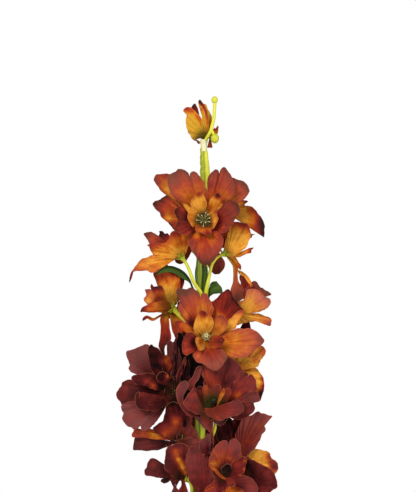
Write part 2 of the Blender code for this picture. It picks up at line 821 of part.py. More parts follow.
SHIFTS = (0, 3, -3, 6, -6, 9, -9, 12, -12, 15, -15, 18, -18)  # millimetres, tried in turn
SCALES = (1.0, 0.88, 0.75)
BROAD = 25.5  # width in millimetres from which a petal gets the finest grid
SLIM = 15.5  # width below which it gets the coarsest


def grid_of(spec):
    if spec["ringed"] or spec["width"] < SLIM * MM:
        return 2, 2
    return (4, 3) if spec["width"] > BROAD * MM or spec["shape"] == "oval" else (2, 3)


def clear_blade(bloom, spec, others):
    """The petal bent just enough to miss its neighbours, or None where no bend does."""
    for scale in SCALES:
        for shift in SHIFTS:
            blade = bloom_blade(bloom, spec, shift, scale)
            tree = test_tree(blade, *grid_of(spec))
            if not any(tree.overlap(other) for other in others):
                return blade
    return None


def blade_object(blade, across, along, thick, collection):
    work = blade_grid(blade, across, along)
    mesh = bpy.data.meshes.new("blade")
    work.to_mesh(mesh)
    work.free()
    made = mesh_object("blade", mesh, collection)
    solid = made.modifiers.new("thickness", "SOLIDIFY")
    solid.thickness = thick * MM
    solid.offset = 0
    return frozen(made, collection)


def stem_section(collection):
    """The stem's outline: two lobes side by side with a groove between them."""
    curve = bpy.data.curves.new("stem_section", "CURVE")
    curve.dimensions = "2D"
    spline = curve.splines.new("POLY")
    count = 10
    spline.points.add(count - 1)
    for k, point in enumerate(spline.points):
        angle = 2 * math.pi * k / count
        radius = STEM_RADIUS * (1 - STEM_LOBE * math.cos(2 * angle)) * MM
        point.co = (radius * math.cos(angle), radius * math.sin(angle), 0, 1)
    spline.use_cyclic_u = True
    made = mesh_object("stem_section", curve, collection)
    made.hide_render = True
    made.display_type = "WIRE"
    return made


def pedicel(bloom, collection):
    """The stalk from the stem to the back of a bloom, flared where it holds the petals."""
    heart, facing = bloom["heart"], bloom["facing"]
    seat = heart - facing * (CORE_RADIUS + GAP) * MM
    if bloom["drop"]:
        start = stem_centre(heart.z - bloom["drop"] * MM)
        rise = heart.z - start.z
        bend = start.lerp(seat, 0.35) + Vector((0, 0, rise * 0.2))
        line = [start, bend, seat - facing * CALYX_NECK * MM]
    else:
        line = [seat - facing * (CALYX_NECK + 2) * MM]
    line.append(seat - facing * CALYX_BACK * MM)
    radii = [PEDICEL_RADIUS] * (len(line) - 1) + [CALYX_RADIUS * 0.75, CALYX_RADIUS]
    return tube("pedicel", [*line, seat], radii, 1, collection)


def build_stem(blooms, collection, skin):
    guides = bpy.data.collections.new("guides")
    bpy.context.scene.collection.children.link(guides)
    section = stem_section(guides)
    line = smooth_line([place(*p) for p in STEM_LINE], 2)
    narrow, top = STEM_TAPER_HEIGHT * MM, line[-1].z
    radii = [1.0 - STEM_TAPER * max(0, p.z - narrow) / (top - narrow) for p in line]
    pieces = [tube("stem_rod", line, radii, 0, collection, section=section)]
    remove(section)
    bpy.data.collections.remove(guides)
    pieces += [pedicel(bloom, collection) for bloom in blooms]
    # The tip's two small round buds on their shared stalk
    fork = place(6.0, 6, HEAD_LOW + 272)
    stalk = smooth_line([line[-1], place(2.8, 5.2, HEAD_LOW + 265), fork, place(7.3, 5, HEAD_LOW + 292)], 2)
    pieces.append(tube("tip_stalk", stalk, [BUD_STALK_RADIUS] * len(stalk), 1, collection))
    up = Vector((0, 0, 1))
    pieces.append(ball(BUD_RADIUS, place(7.4, 5, HEAD_LOW + 294), up, 7, 5, collection))
    pieces.append(stick(1.0, BUD_STALK_RADIUS, fork, place(7.6, 6.5, HEAD_LOW + 266), 6, collection))
    pieces.append(ball(BUD_RADIUS, place(7.7, 6.7, HEAD_LOW + 264.5), up, 7, 5, collection, stretch=1.25))
    return fused("stem", pieces, skin, collection)


def leaf_blade(leaf):
    root = place(*leaf["root"]) + place(0, 0, HEAD_LOW)
    tip, via = root + place(*leaf["tip"]), root + place(*leaf["via"])
    face = place(*leaf["face"]).normalized()
    return {
        "root": root,
        "via": via,
        "tip": tip,
        "side": face.cross((tip - root).normalized()).normalized(),
        "width": leaf["width"] * MM,
        "cup": leaf["cup"],
        "curl": 0,
        "twist": 0,
        "notch": 0,
        "shape": "point",
    }


def build_leaf(leaf, collection, skin):
    """A leaf of its own; its middle surface comes back as something for the petals to miss."""
    blade = leaf_blade(leaf)
    made = blade_object(blade, 2, 5, LEAF_THICK, collection)
    made.name = leaf["name"]
    made.data.materials.append(skin)
    made.data.shade_smooth()
    return sheet_tree(blade, 2, 5)


def build_stamens(bloom, collection, skin):
    """The little bunch at a bloom's heart: a button with thin threads that lean outwards."""
    facing = bloom["facing"]
    seat = bloom["heart"] + facing * (CORE_RADIUS + GAP) * MM
    across = facing.orthogonal().normalized()
    top = seat + facing * BUTTON_HEIGHT * MM
    pieces = [stick(BUTTON_RADIUS, BUTTON_TOP_RADIUS, seat, top, 6, collection)]
    for k in range(THREAD_COUNT):
        turn = Matrix.Rotation(2 * math.pi * k / THREAD_COUNT + 0.4, 3, facing)
        lean = turn @ across
        foot = seat + facing * MM + lean * 0.8 * MM
        end = seat + facing * bloom["stamens"] * 0.9 * MM + lean * (THREAD_LEAN + 0.5 * (k % 2)) * MM
        pieces.append(stick(THREAD_RADIUS, THREAD_TIP_RADIUS, foot, end, 3, collection))
    return fused(bloom["name"].replace("bloom", "stamens"), pieces, skin, collection)


def build_bloom(bloom, obstacles, collection, skin):
    """A bloom's petals, each bent clear of the other blooms and fused at the core."""
    others = [tree for owner, tree in obstacles if owner != bloom["name"]]
    reach = bloom["facing"] * CORE_RADIUS * MM
    pieces = [stick(CORE_RADIUS, CORE_RADIUS, bloom["heart"] - reach, bloom["heart"] + reach, 6, collection)]
    for number, spec in enumerate(bloom["petals"]):
        blade = clear_blade(bloom, spec, others)
        if blade is None:
            print("no room for petal", number, "of", bloom["name"])
            continue
        pieces.append(blade_object(blade, *grid_of(spec), PETAL_THICK, collection))
        obstacles.append((bloom["name"], sheet_tree(blade, *grid_of(spec))))
    return fused(bloom["name"], pieces, skin, collection)


def turned(name, profile, steps, collection, skin):
    """A solid turned from a profile of (radius, height) that starts and ends on the axis."""
    mesh = bpy.data.meshes.new(name)
    mesh.from_pydata([(r * MM, 0, z * MM) for r, z in profile], [(k, k + 1) for k in range(len(profile) - 1)], [])
    made = mesh_object(name, mesh, collection)
    screw = made.modifiers.new("turn", "SCREW")
    screw.steps = screw.render_steps = steps
    screw.use_merge_vertices = True
    screw.merge_threshold = 0.00005
    solid = frozen(made, collection)
    solid.name = name
    solid.data.materials.append(skin)
    solid.data.shade_smooth()
    solid.data.set_sharp_from_angle(angle=math.radians(40))
    return solid


def vase_outside():
    """The vase's outer outline from foot to lip, as (radius, height)."""
    shoulder = VASE_HEIGHT * 0.66
    knots = [
        (VASE_FOOT_RADIUS + 5, 5),
        (VASE_BODY_RADIUS * 0.97, VASE_HEIGHT * 0.21),
        (VASE_BODY_RADIUS * 0.96, VASE_HEIGHT * 0.42),
        (VASE_BODY_RADIUS * 0.5, shoulder),
        (VASE_NECK_RADIUS, VASE_HEIGHT * 0.82),
        (VASE_NECK_RADIUS + 0.3, VASE_HEIGHT * 0.92),
        (VASE_LIP_RADIUS, VASE_HEIGHT - 2),
    ]
    line = smooth_line([Vector((r, z, 0)) for r, z in knots], 2)
    return [(VASE_FOOT_RADIUS, 0), *((p.x, p.y) for p in line)]


def inward(outline, depth):
    """The outline moved towards the axis by a wall's depth."""
    moved = []
    for k, (radius, height) in enumerate(outline):
        before, after = outline[max(k - 1, 0)], outline[min(k + 1, len(outline) - 1)]
        run, climb = after[0] - before[0], after[1] - before[1]
        size = math.hypot(run, climb)
        moved.append((radius - depth * climb / size, height + depth * run / size))
    return moved


def vase_inside():
    """The inner outline from floor to lip."""
    wall = [p for p in inward(vase_outside(), VASE_WALL)[::2] if VASE_FLOOR + 3 < p[1] < VASE_HEIGHT - 3]
    return [(wall[0][0] - 6, VASE_FLOOR), *wall]


def build_vase(collection, skin):
    outside, inside = vase_outside(), vase_inside()
    mouth = inside[-1][0]
    lip = [(mouth + 0.8, VASE_HEIGHT - 1), (mouth + 2.2, VASE_HEIGHT), (VASE_LIP_RADIUS - 1.2, VASE_HEIGHT)]
    profile = [(0, VASE_FLOOR), *inside, *lip, *reversed(outside), (0, 0)]
    return turned("vase", profile, VASE_STEPS, collection, skin)


def inner_radius(height):
    """The vase's inner radius at a height, read along its inner outline."""
    inside = vase_inside()
    for (low_r, low_z), (high_r, high_z) in zip(inside, inside[1:]):
        if height <= high_z:
            return low_r + (high_r - low_r) * (height - low_z) / (high_z - low_z)
    return inside[-1][0]


def build_water(collection, skin):
    wet = [(r - GAP, z + GAP) for r, z in vase_inside() if z < WATER_LEVEL - 3]
    surface = (inner_radius(WATER_LEVEL) - 2 * GAP, WATER_LEVEL)
    profile = [(0, VASE_FLOOR + GAP), *wet, surface, (0, WATER_LEVEL)]
    water = turned("water", list(reversed(profile)), VASE_STEPS, collection, skin)
    # The stem's hole slants through the water from the floor up
    foot, neck = place(*STEM_LINE[0]), place(*STEM_LINE[2])
    bore = STEM_RADIUS * (1 + STEM_LOBE) + 3 * GAP
    cutter = stick(bore, bore, foot.lerp(neck, -0.1), neck, 12, collection)
    hole = water.modifiers.new("hole", "BOOLEAN")
    hole.operation = "DIFFERENCE"
    hole.object = cutter
    hole.solver = "EXACT"
    solid = frozen(water, collection)
    remove(cutter)
    solid.name = "water"
    return solid


def main():
    for obj in list(bpy.data.objects):
        bpy.data.objects.remove(obj, do_unlink=True)
    collection = bpy.data.collections.new("delphinium_in_vase")
    bpy.context.scene.collection.children.link(collection)
    skins = {
        "stem": material("stem_green", (0.42, 0.48, 0.05), 0.5),
        "leaf": material("leaf_green", (0.06, 0.10, 0.03), 0.6),
        "petal_gold": material("petal_gold", (0.62, 0.25, 0.05), 0.75),
        "petal_orange": material("petal_orange", (0.50, 0.11, 0.03), 0.75),
        "petal_burgundy": material("petal_burgundy", (0.22, 0.03, 0.02), 0.75),
        "stamens": material("stamen_olive", (0.30, 0.26, 0.08), 0.7),
        "vase": material("vase_glaze", (0.80, 0.77, 0.71), 0.35),
        "water": material("water_clear", (0.75, 0.85, 0.85), 0.05),
    }
    blooms = []
    for bloom in BLOOMS:
        heart = place(*bloom["heart"]) + place(0, 0, HEAD_LOW)
        blooms.append({**bloom, "heart": heart, "facing": place(*bloom["facing"]).normalized()})
    build_vase(collection, skins["vase"])
    build_water(collection, skins["water"])
    stem = build_stem(blooms, collection, skins["stem"])
    obstacles = [("stem", object_tree(stem))]
    for leaf in LEAVES:
        obstacles.append((leaf["name"], build_leaf(leaf, collection, skins["leaf"])))
    for bloom in blooms:
        if "stamens" in bloom:
            bunch = build_stamens(bloom, collection, skins["stamens"])
            obstacles.append((bunch.name, object_tree(bunch)))
    for bloom in blooms:
        build_bloom(bloom, obstacles, collection, skins[bloom["skin"]])


main()
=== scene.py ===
# Delphinium spray in a bottle vase: fine petals, stem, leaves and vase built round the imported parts
import math
import random

import bpy
import numpy as np
from mathutils import Matrix, Vector, noise


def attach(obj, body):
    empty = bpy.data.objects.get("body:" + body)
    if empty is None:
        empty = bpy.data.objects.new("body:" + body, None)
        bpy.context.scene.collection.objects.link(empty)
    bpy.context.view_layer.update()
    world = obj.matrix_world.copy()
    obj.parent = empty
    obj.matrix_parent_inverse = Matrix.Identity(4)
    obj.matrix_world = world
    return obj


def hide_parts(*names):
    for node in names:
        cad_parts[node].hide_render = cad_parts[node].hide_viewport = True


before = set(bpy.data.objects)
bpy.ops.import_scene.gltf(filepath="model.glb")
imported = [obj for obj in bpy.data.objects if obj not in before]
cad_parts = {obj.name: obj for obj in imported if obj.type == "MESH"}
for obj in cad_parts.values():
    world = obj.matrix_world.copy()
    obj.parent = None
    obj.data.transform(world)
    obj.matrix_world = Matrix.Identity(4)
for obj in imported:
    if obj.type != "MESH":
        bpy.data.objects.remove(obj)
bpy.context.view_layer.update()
print("frame loaded")

mm = 0.001
headLow = 385.0  # mm above the table, where the heights of blooms and leaves are counted from


def place(right, front, up):
    return Vector((right, -front, up)) * mm


def onSpray(right, front, up):  # the same, with the height counted from headLow
    return place(right, front, up) + place(0, 0, headLow)


def addObject(name, data):
    made = bpy.data.objects.new(name, data)
    bpy.context.scene.collection.objects.link(made)
    return made


# The camera sees the spray as the photo does. Two lamps and a white sky light it.
viewSetup = {
    "aim": (0.00225, 0.0, 0.5695),
    "distance": 1.6,
    "seenHeight": 0.369,  # metres that the long side of the frame takes in
    "sensor": 36.0,
}
cameraData = bpy.data.cameras.new("photoCamera")
cameraData.sensor_width = viewSetup["sensor"]
cameraData.lens = viewSetup["sensor"] * viewSetup["distance"] / viewSetup["seenHeight"]
camera = addObject("photoCamera", cameraData)
camera.location = Vector(viewSetup["aim"]) + Vector((0, -viewSetup["distance"], 0))
camera.rotation_euler = (math.pi / 2, 0, 0)
bpy.context.scene.camera = camera
bpy.context.scene.view_settings.view_transform = "Standard"

lightSetup = {
    "skyShown": 1.0,  # the white behind the spray
    "skyLit": 0.27,  # what the same sky gives as light
    "key": {"at": (-0.9, -1.6, 1.7), "size": 0.7, "power": 33.0, "colour": (1.0, 0.98, 0.95)},
    "fill": {"at": (1.5, -1.3, 0.7), "size": 1.0, "power": 17.0, "colour": (0.98, 0.99, 1.0)},
    "floorSize": 3.0,
}
world = bpy.data.worlds.new("whiteSky")
bpy.context.scene.world = world
world.use_nodes = True
sky = world.node_tree.nodes["Background"]
sky.inputs["Color"].default_value = (1, 1, 1, 1)
seen = world.node_tree.nodes.new("ShaderNodeLightPath")
strength = world.node_tree.nodes.new("ShaderNodeMapRange")
strength.inputs["To Min"].default_value = lightSetup["skyLit"]
strength.inputs["To Max"].default_value = lightSetup["skyShown"]
world.node_tree.links.new(seen.outputs["Is Camera Ray"], strength.inputs["Value"])
world.node_tree.links.new(strength.outputs["Result"], sky.inputs["Strength"])
for lampName in ("key", "fill"):
    lamp = lightSetup[lampName]
    lampData = bpy.data.lights.new(lampName + "Lamp", "AREA")
    lampData.size = lamp["size"]
    lampData.energy = lamp["power"]
    lampData.color = lamp["colour"]
    lampObject = addObject(lampName + "Lamp", lampData)
    lampObject.location = lamp["at"]
    aim = Vector(viewSetup["aim"]) - Vector(lamp["at"])
    lampObject.rotation_euler = aim.to_track_quat("-Z", "Y").to_euler()
print("camera and lights set")


def linear(red, green, blue):  # 0 to 255 on screen, as the shader wants it
    shares = [c / 255 for c in (red, green, blue)]
    return tuple(c / 12.92 if c < 0.04 else ((c + 0.055) / 1.055) ** 2.4 for c in shares) + (1.0,)


def newMaterial(name, roughness=0.5, specular=0.5):
    made = bpy.data.materials.new(name)
    made.use_nodes = True
    shader = made.node_tree.nodes["Principled BSDF"]
    shader.inputs["Roughness"].default_value = roughness
    shader.inputs["Specular IOR Level"].default_value = specular
    return made, made.node_tree, shader


def feed(tree, socket, value):
    if isinstance(value, bpy.types.NodeSocket):
        tree.links.new(value, socket)
    else:
        socket.default_value = value


def maths(tree, operation, first, second=0.0):
    node = tree.nodes.new("ShaderNodeMath")
    node.operation = operation
    feed(tree, node.inputs[0], first)
    feed(tree, node.inputs[1], second)
    return node.outputs[0]


def times(tree, first, second):
    return maths(tree, "MULTIPLY", first, second)


def plus(tree, first, second):
    return maths(tree, "ADD", first, second)


def swayed(tree, value, ripple, amount):  # the value with a ripple of 0 to 1 added, as far down as up
    return plus(tree, value, times(tree, maths(tree, "SUBTRACT", ripple, 0.5), amount))


def objectSpace(tree):
    return tree.nodes.new("ShaderNodeTexCoord").outputs["Object"]


def apart(tree, where):
    node = tree.nodes.new("ShaderNodeSeparateXYZ")
    tree.links.new(where, node.inputs[0])
    return node.outputs


def roughen(tree, shader, grain, spread, least):
    tree.links.new(plus(tree, times(tree, grain, spread), least), shader.inputs["Roughness"])


def blendColours(tree, mode, amount, first, second):
    node = tree.nodes.new("ShaderNodeMix")
    node.data_type = "RGBA"
    node.blend_type = mode
    feed(tree, node.inputs[0], amount)
    feed(tree, node.inputs[6], first)
    feed(tree, node.inputs[7], second)
    return node.outputs[2]


def dyed(tree, amount, colour, dye):
    return blendColours(tree, "MIX", amount, colour, linear(*dye))


def colourBand(tree, value, stops):
    node = tree.nodes.new("ShaderNodeValToRGB")
    band = node.color_ramp
    band.elements[0].position, band.elements[0].color = stops[0][0], linear(*stops[0][1])
    band.elements[1].position, band.elements[1].color = stops[-1][0], linear(*stops[-1][1])
    for position, colour in stops[1:-1]:
        band.elements.new(position).color = linear(*colour)
    feed(tree, node.inputs[0], value)
    return node.outputs[0]


def readValue(tree, name):
    node = tree.nodes.new("ShaderNodeAttribute")
    node.attribute_name = name
    return node.outputs["Fac"]


def cloudy(tree, where, scale, stretch=(1, 1, 1), detail=2.0):
    spread = tree.nodes.new("ShaderNodeMapping")
    spread.inputs["Scale"].default_value = stretch
    tree.links.new(where, spread.inputs["Vector"])
    node = tree.nodes.new("ShaderNodeTexNoise")
    node.inputs["Scale"].default_value = scale
    node.inputs["Detail"].default_value = detail
    tree.links.new(spread.outputs[0], node.inputs["Vector"])
    return node.outputs["Fac"]


def bumpOf(tree, shader, height, strength, depth):  # depth in mm
    node = tree.nodes.new("ShaderNodeBump")
    node.inputs["Strength"].default_value = strength
    node.inputs["Distance"].default_value = depth * mm
    tree.links.new(height, node.inputs["Height"])
    tree.links.new(node.outputs[0], shader.inputs["Normal"])


floorLook = {
    "colour": (244, 243, 240),
    "paler": (250, 249, 247),
    "roughness": 0.9,
    "specular": 0.2,
    "grain": 14.0,
}
floorPaint, floorTree, floorShader = newMaterial("floorPaint", floorLook["roughness"], floorLook["specular"])
floorGrain = cloudy(floorTree, objectSpace(floorTree), floorLook["grain"])
floorColour = dyed(floorTree, floorGrain, linear(*floorLook["colour"]), floorLook["paler"])
floorTree.links.new(floorColour, floorShader.inputs["Base Color"])

petalLook = {
    "stops": [
        (0.0, (238, 165, 56)),
        (0.15, (208, 121, 27)),
        (0.3, (186, 84, 18)),
        (0.45, (158, 48, 24)),
        (0.6, (125, 29, 21)),
        (0.74, (94, 17, 13)),
        (0.86, (60, 6, 6)),
        (1.0, (14, 0, 1)),
    ],
    "blush": (204, 122, 96),  # dusty pink painted sheen, where the cloth catches the light
    "veins": 0.2,  # how far the fine stripes shift the ripeness
    "clouds": 0.3,  # the same for the dye's soft clouds
    "cutEdge": (205, 120, 86),  # the pale line of the cut cloth
    "edgeFade": 0.28,  # how much of that line the ripest dye hides
    "mottle": 0.5,  # how far the weave's uneven patches darken or lighten it
    # dark olive painted shade of a bloom's deep throat
    "throatShade": (52, 46, 12),
    "threadPitch": 0.55,  # mm from one thread of the weave to the next
    "threadShown": 0.1,  # how much the weave lightens and darkens it
    "veinStretch": (24.0, 2.0, 1.0),
    "cloudScale": 150.0,
    "grainScale": 75.0,
    "roughness": 0.82,
    "roughSpread": 0.2,
    "specular": 0.1,
    "sheen": 0.02,
    "sheenRoughness": 0.5,
    "bump": (0.55, 0.35),  # strength, and depth in mm
}
uvSpan = 40.0  # mm of cloth that one unit of the petals' map covers


def petalCloth(name, look):
    made, tree, shader = newMaterial(name, look["roughness"], look["specular"])
    shader.inputs["Sheen Weight"].default_value = look["sheen"]
    shader.inputs["Sheen Roughness"].default_value = look["sheenRoughness"]
    flat = tree.nodes.new("ShaderNodeUVMap").outputs[0]
    radial = tree.nodes.new("ShaderNodeAttribute")
    radial.attribute_name = "radial"
    veins = cloudy(tree, radial.outputs["Vector"], 1.0, look["veinStretch"], 3.0)
    clouds = cloudy(tree, objectSpace(tree), look["cloudScale"], detail=4.0)
    grain = cloudy(tree, flat, look["grainScale"])
    ripe = swayed(tree, readValue(tree, "ripe"), veins, look["veins"] * 2)
    ripe = swayed(tree, ripe, clouds, look["clouds"] * 2)
    colour = colourBand(tree, ripe, look["stops"])
    # painted sheen: a dusty pink veil mixed into the colour, as if the cloth caught the light
    sheenVeil = times(tree, readValue(tree, "blush"), plus(tree, grain, clouds))
    colour = dyed(tree, sheenVeil, colour, look["blush"])
    fresh = maths(tree, "SUBTRACT", 0.5, times(tree, readValue(tree, "ripe"), look["edgeFade"]))
    colour = dyed(tree, times(tree, readValue(tree, "cutEdge"), fresh), colour, look["cutEdge"])
    # painted shade: the petals darken towards olive in the deep throat of the bloom
    colour = dyed(tree, readValue(tree, "throatShade"), colour, look["throatShade"])
    turns = 2 * math.pi * uvSpan / look["threadPitch"]
    warp, weft = (maths(tree, "SINE", times(tree, side, turns)) for side in apart(tree, flat)[:2])
    weave = plus(tree, times(tree, times(tree, warp, weft), 0.5), 0.5)
    speck = plus(tree, times(tree, weave, look["threadShown"]), times(tree, grain, look["mottle"]))
    shade = plus(tree, speck, 1 - (look["threadShown"] + look["mottle"]) / 2)
    tint = tree.nodes.new("ShaderNodeCombineXYZ")
    for number in range(3):
        tree.links.new(shade, tint.inputs[number])
    colour = blendColours(tree, "MULTIPLY", 1.0, colour, tint.outputs[0])
    tree.links.new(colour, shader.inputs["Base Color"])
    roughen(tree, shader, grain, look["roughSpread"], look["roughness"] - look["roughSpread"] / 2)
    bumpOf(tree, shader, plus(tree, times(tree, weave, 0.3), veins), *look["bump"])
    return made


budLook = {
    **petalLook,
    "stops": [(0.0, (208, 156, 40)), *petalLook["stops"][1:]],
    "veins": 0.12,
    "clouds": 0.14,
}
burgundyLook = {
    **petalLook,
    "stops": [
        (0.0, (238, 165, 56)),
        (0.15, (206, 119, 29)),
        (0.3, (172, 76, 16)),
        (0.45, (142, 45, 24)),
        (0.6, (118, 34, 29)),
        (0.74, (86, 20, 19)),
        (0.86, (56, 7, 8)),
        (1.0, (14, 0, 1)),
    ],
    # a cooler dusty painted sheen for the dark cloth
    "blush": (166, 98, 94),
    "veins": 0.08,
    "edgeFade": 0.08,
    "mottle": 1.1,
}
clothOf = {
    "petal_gold": petalCloth("goldCloth", petalLook),
    "petal_orange": petalCloth("orangeCloth", petalLook),
    "petal_burgundy": petalCloth("burgundyCloth", burgundyLook),
    "bud": petalCloth("budCloth", budLook),
}

greenLook = {
    "stops": [
        (0.0, (48, 66, 8)),
        (0.3, (104, 118, 12)),
        (0.55, (164, 176, 30)),
        (0.8, (226, 224, 62)),
        (0.9, (236, 230, 120)),
        (1.0, (242, 236, 186)),
    ],
    "sway": 0.24,  # how far the clouds of green shift the ripeness
    "roughness": (0.3, 0.3),  # spread and least
    "specular": 0.4,
    "bump": (0.5, 0.5),
}
leafLook = {
    "stops": [
        (0.0, (26, 34, 4)),
        (0.25, (44, 62, 14)),
        (0.5, (78, 106, 40)),
        (0.75, (124, 136, 34)),
        (1.0, (176, 184, 90)),
    ],
    "sway": 0.35,
    "roughness": (0.2, 0.6),
    "specular": 0.15,
    "bump": (0.5, 0.3),
}
stamenLook = {
    "stops": [
        (0.0, (38, 34, 10)),
        (0.45, (104, 96, 40)),
        (0.75, (176, 164, 92)),
        (1.0, (240, 230, 186)),
    ],
    "sway": 0.3,
    "roughness": (0.3, 0.45),
    "specular": 0.35,
}


def rippled(name, look, ripplesIn):  # its colour sways with the first ripple, its roughness with the last
    made, tree, shader = newMaterial(name, specular=look["specular"])
    ripples = ripplesIn(tree)
    ripe = swayed(tree, readValue(tree, "ripe"), ripples[0], look["sway"])
    tree.links.new(colourBand(tree, ripe, look["stops"]), shader.inputs["Base Color"])
    roughen(tree, shader, ripples[-1], *look["roughness"])
    if "bump" in look:
        bumpOf(tree, shader, plus(tree, ripples[0], times(tree, ripples[-1], 0.4)), *look["bump"])
    return made


def stemRipples(tree):
    where = objectSpace(tree)
    return cloudy(tree, where, 260.0, (1.0, 1.0, 0.35), 3.0), cloudy(tree, where, 900.0)


def leafRipples(tree):
    where = tree.nodes.new("ShaderNodeUVMap").outputs[0]
    return cloudy(tree, where, 1.0, (30.0, 5.0, 1.0), 3.0), cloudy(tree, where, 70.0)


stemPlastic = rippled("stemPlastic", greenLook, stemRipples)
leafCloth = rippled("leafCloth", leafLook, leafRipples)
stamenPlastic = rippled("stamenPlastic", stamenLook, lambda tree: [cloudy(tree, objectSpace(tree), 700.0)])

glazeLook = {
    "colour": (226, 220, 208),
    "deep": (206, 198, 182),
    "clay": (196, 178, 150),
    "speck": (150, 134, 112),
    "specks": {"scale": 520.0, "detail": 1.0},
    "speckFrom": 0.72,
    "speckShown": 0.55,
    "clouds": {"scale": 22.0, "stretch": (1.0, 1.0, 0.6), "detail": 4.0},
    "rings": 1500.0,  # radians of the throwing rings to a metre of height
    "ringHigh": 0.12,
    "roughness": (0.12, 0.2),
    "clayRougher": 0.6,
    "bump": (0.25, 0.8),
    "footBand": 3.0,  # mm of bare clay above the table
}
glaze, glazeTree, glazeShader = newMaterial("vaseGlaze")
glazeSolid = objectSpace(glazeTree)
glazeHeight = apart(glazeTree, glazeSolid)[2]
glazeClouds = cloudy(glazeTree, glazeSolid, **glazeLook["clouds"])
glazeSpecks = cloudy(glazeTree, glazeSolid, **glazeLook["specks"])
glazeRings = maths(glazeTree, "SINE", times(glazeTree, glazeHeight, glazeLook["rings"]))
glazeColour = dyed(glazeTree, glazeClouds, linear(*glazeLook["colour"]), glazeLook["deep"])
speckOn = maths(glazeTree, "GREATER_THAN", glazeSpecks, glazeLook["speckFrom"])
speckOn = times(glazeTree, speckOn, glazeLook["speckShown"])
glazeColour = dyed(glazeTree, speckOn, glazeColour, glazeLook["speck"])
bareOn = maths(glazeTree, "LESS_THAN", glazeHeight, glazeLook["footBand"] * mm)
glazeColour = dyed(glazeTree, bareOn, glazeColour, glazeLook["clay"])
glazeTree.links.new(glazeColour, glazeShader.inputs["Base Color"])
glazeSpread, glazeLeast = glazeLook["roughness"]
glazeRough = plus(glazeTree, times(glazeTree, glazeClouds, glazeSpread), glazeLeast)
roughen(glazeTree, glazeShader, bareOn, glazeLook["clayRougher"], glazeRough)
glazeHigh = plus(glazeTree, times(glazeTree, glazeRings, glazeLook["ringHigh"]), glazeClouds)
bumpOf(glazeTree, glazeShader, glazeHigh, *glazeLook["bump"])

waterLook = {
    "colour": (0.92, 0.98, 0.97, 1),
    "roughness": 0.02,
    "bending": 1.33,
    "ripples": 60.0,
    "bump": (0.1, 0.4),
}
waterClear, waterTree, waterShader = newMaterial("waterClear", waterLook["roughness"])
waterShader.inputs["Base Color"].default_value = waterLook["colour"]
waterShader.inputs["Transmission Weight"].default_value = 1.0
waterShader.inputs["IOR"].default_value = waterLook["bending"]
waterRipples = cloudy(waterTree, objectSpace(waterTree), waterLook["ripples"])
bumpOf(waterTree, waterShader, waterRipples, *waterLook["bump"])
print("materials made")


def emptyShape():  # a shape is a dictionary of points, faces and values for each point
    return {"points": [], "faces": [], "ripe": [], "cutEdge": [], "throatShade": [], "blush": [], "map": [],
            "radial": []}


def addShape(shape, points, faces, ripe, cutEdge=None, throatShade=None, flat=None, radial=None, blush=None):
    start = len(shape["points"])
    count = len(points)
    shape["points"].extend(tuple(p) for p in points)
    shape["faces"].extend(tuple(k + start for k in face) for face in faces)
    shape["ripe"].extend(ripe if hasattr(ripe, "__len__") else [ripe] * count)
    shape["cutEdge"].extend(cutEdge if cutEdge is not None else [0.0] * count)
    shape["throatShade"].extend(throatShade if throatShade is not None else [0.0] * count)
    shape["blush"].extend(blush if blush is not None else [0.0] * count)
    flat = flat if flat is not None else [(p[0] / uvSpan / mm, p[2] / uvSpan / mm) for p in points]
    shape["map"].extend(flat)
    shape["radial"].extend(radial if radial is not None else flat)


def newPiece(name, shape, material, slotName, *nodes):
    mesh = bpy.data.meshes.new(name)
    mesh.from_pydata(shape["points"], [], shape["faces"])
    for key in ("ripe", "cutEdge", "throatShade", "blush"):
        mesh.attributes.new(key, "FLOAT", "POINT").data.foreach_set("value", np.array(shape[key], np.float32))
    radial = np.zeros((len(shape["points"]), 3), np.float32)
    radial[:, :2] = shape["radial"]
    mesh.attributes.new("radial", "FLOAT_VECTOR", "POINT").data.foreach_set("vector", radial.ravel())
    corners = np.zeros(len(mesh.loops), np.int32)
    mesh.loops.foreach_get("vertex_index", corners)
    flat = np.array(shape["map"], np.float32)[corners]
    mesh.uv_layers.new(name="UVMap").data.foreach_set("uv", flat.ravel())
    mesh.shade_smooth()
    mesh.set_sharp_from_angle(angle=math.radians(62))
    mesh.materials.append(material)
    piece = addObject(name, mesh)
    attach(piece, "root")
    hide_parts(*nodes)


def smoothLine(points, steps):
    ends = [points[0] * 2 - points[1], *points, points[-1] * 2 - points[-2]]
    line = []
    for k in range(1, len(ends) - 2):
        before, start, end, after = ends[k - 1:k + 3]
        for step in range(steps):
            t = step / steps
            line.append((start * 2 + (end - before) * t
                         + (before * 2 - start * 5 + end * 4 - after) * t**2
                         + (start * 3 - before - end * 3 + after) * t**3) * 0.5)
    return [*line, points[-1]]


def tubeFaces(rings, sides):
    faces = []
    for r in range(rings - 1):
        for s in range(sides):
            a, b = r * sides + s, r * sides + (s + 1) % sides
            faces.append((a, b, b + sides, a + sides))
    faces.append(tuple(reversed(range(sides))))
    faces.append(tuple(range((rings - 1) * sides, rings * sides)))
    return faces


def directionAt(line, k):
    return (line[min(k + 1, len(line) - 1)] - line[max(k - 1, 0)]).normalized()


def tubeShape(line, radii, sides):
    points = []
    side = None
    for k, centre in enumerate(line):
        along = directionAt(line, k)
        side = side or along.orthogonal()
        side = (side - along * side.dot(along)).normalized()
        other = along.cross(side)
        for s in range(sides):
            angle = 2 * math.pi * s / sides
            points.append(centre + (side * math.cos(angle) + other * math.sin(angle)) * radii[k])
    return points, tubeFaces(len(line), sides)


def ballShape(centre, axis, radius, stretch, sides, rings, rough=0.0, lumps=3.5):
    turn = Vector((0, 0, 1)).rotation_difference(axis).to_matrix()
    points, faces = [], []
    for r in range(rings + 1):
        polar = math.pi * min(max(r / rings, 0.02), 0.98)
        for s in range(sides):
            angle = 2 * math.pi * s / sides
            local = Vector((math.sin(polar) * math.cos(angle), math.sin(polar) * math.sin(angle),
                            -math.cos(polar) * stretch))
            size = radius * (1 + rough * noise.noise(local * lumps))
            points.append(centre + turn @ (local * size))
    return points, tubeFaces(rings + 1, sides)


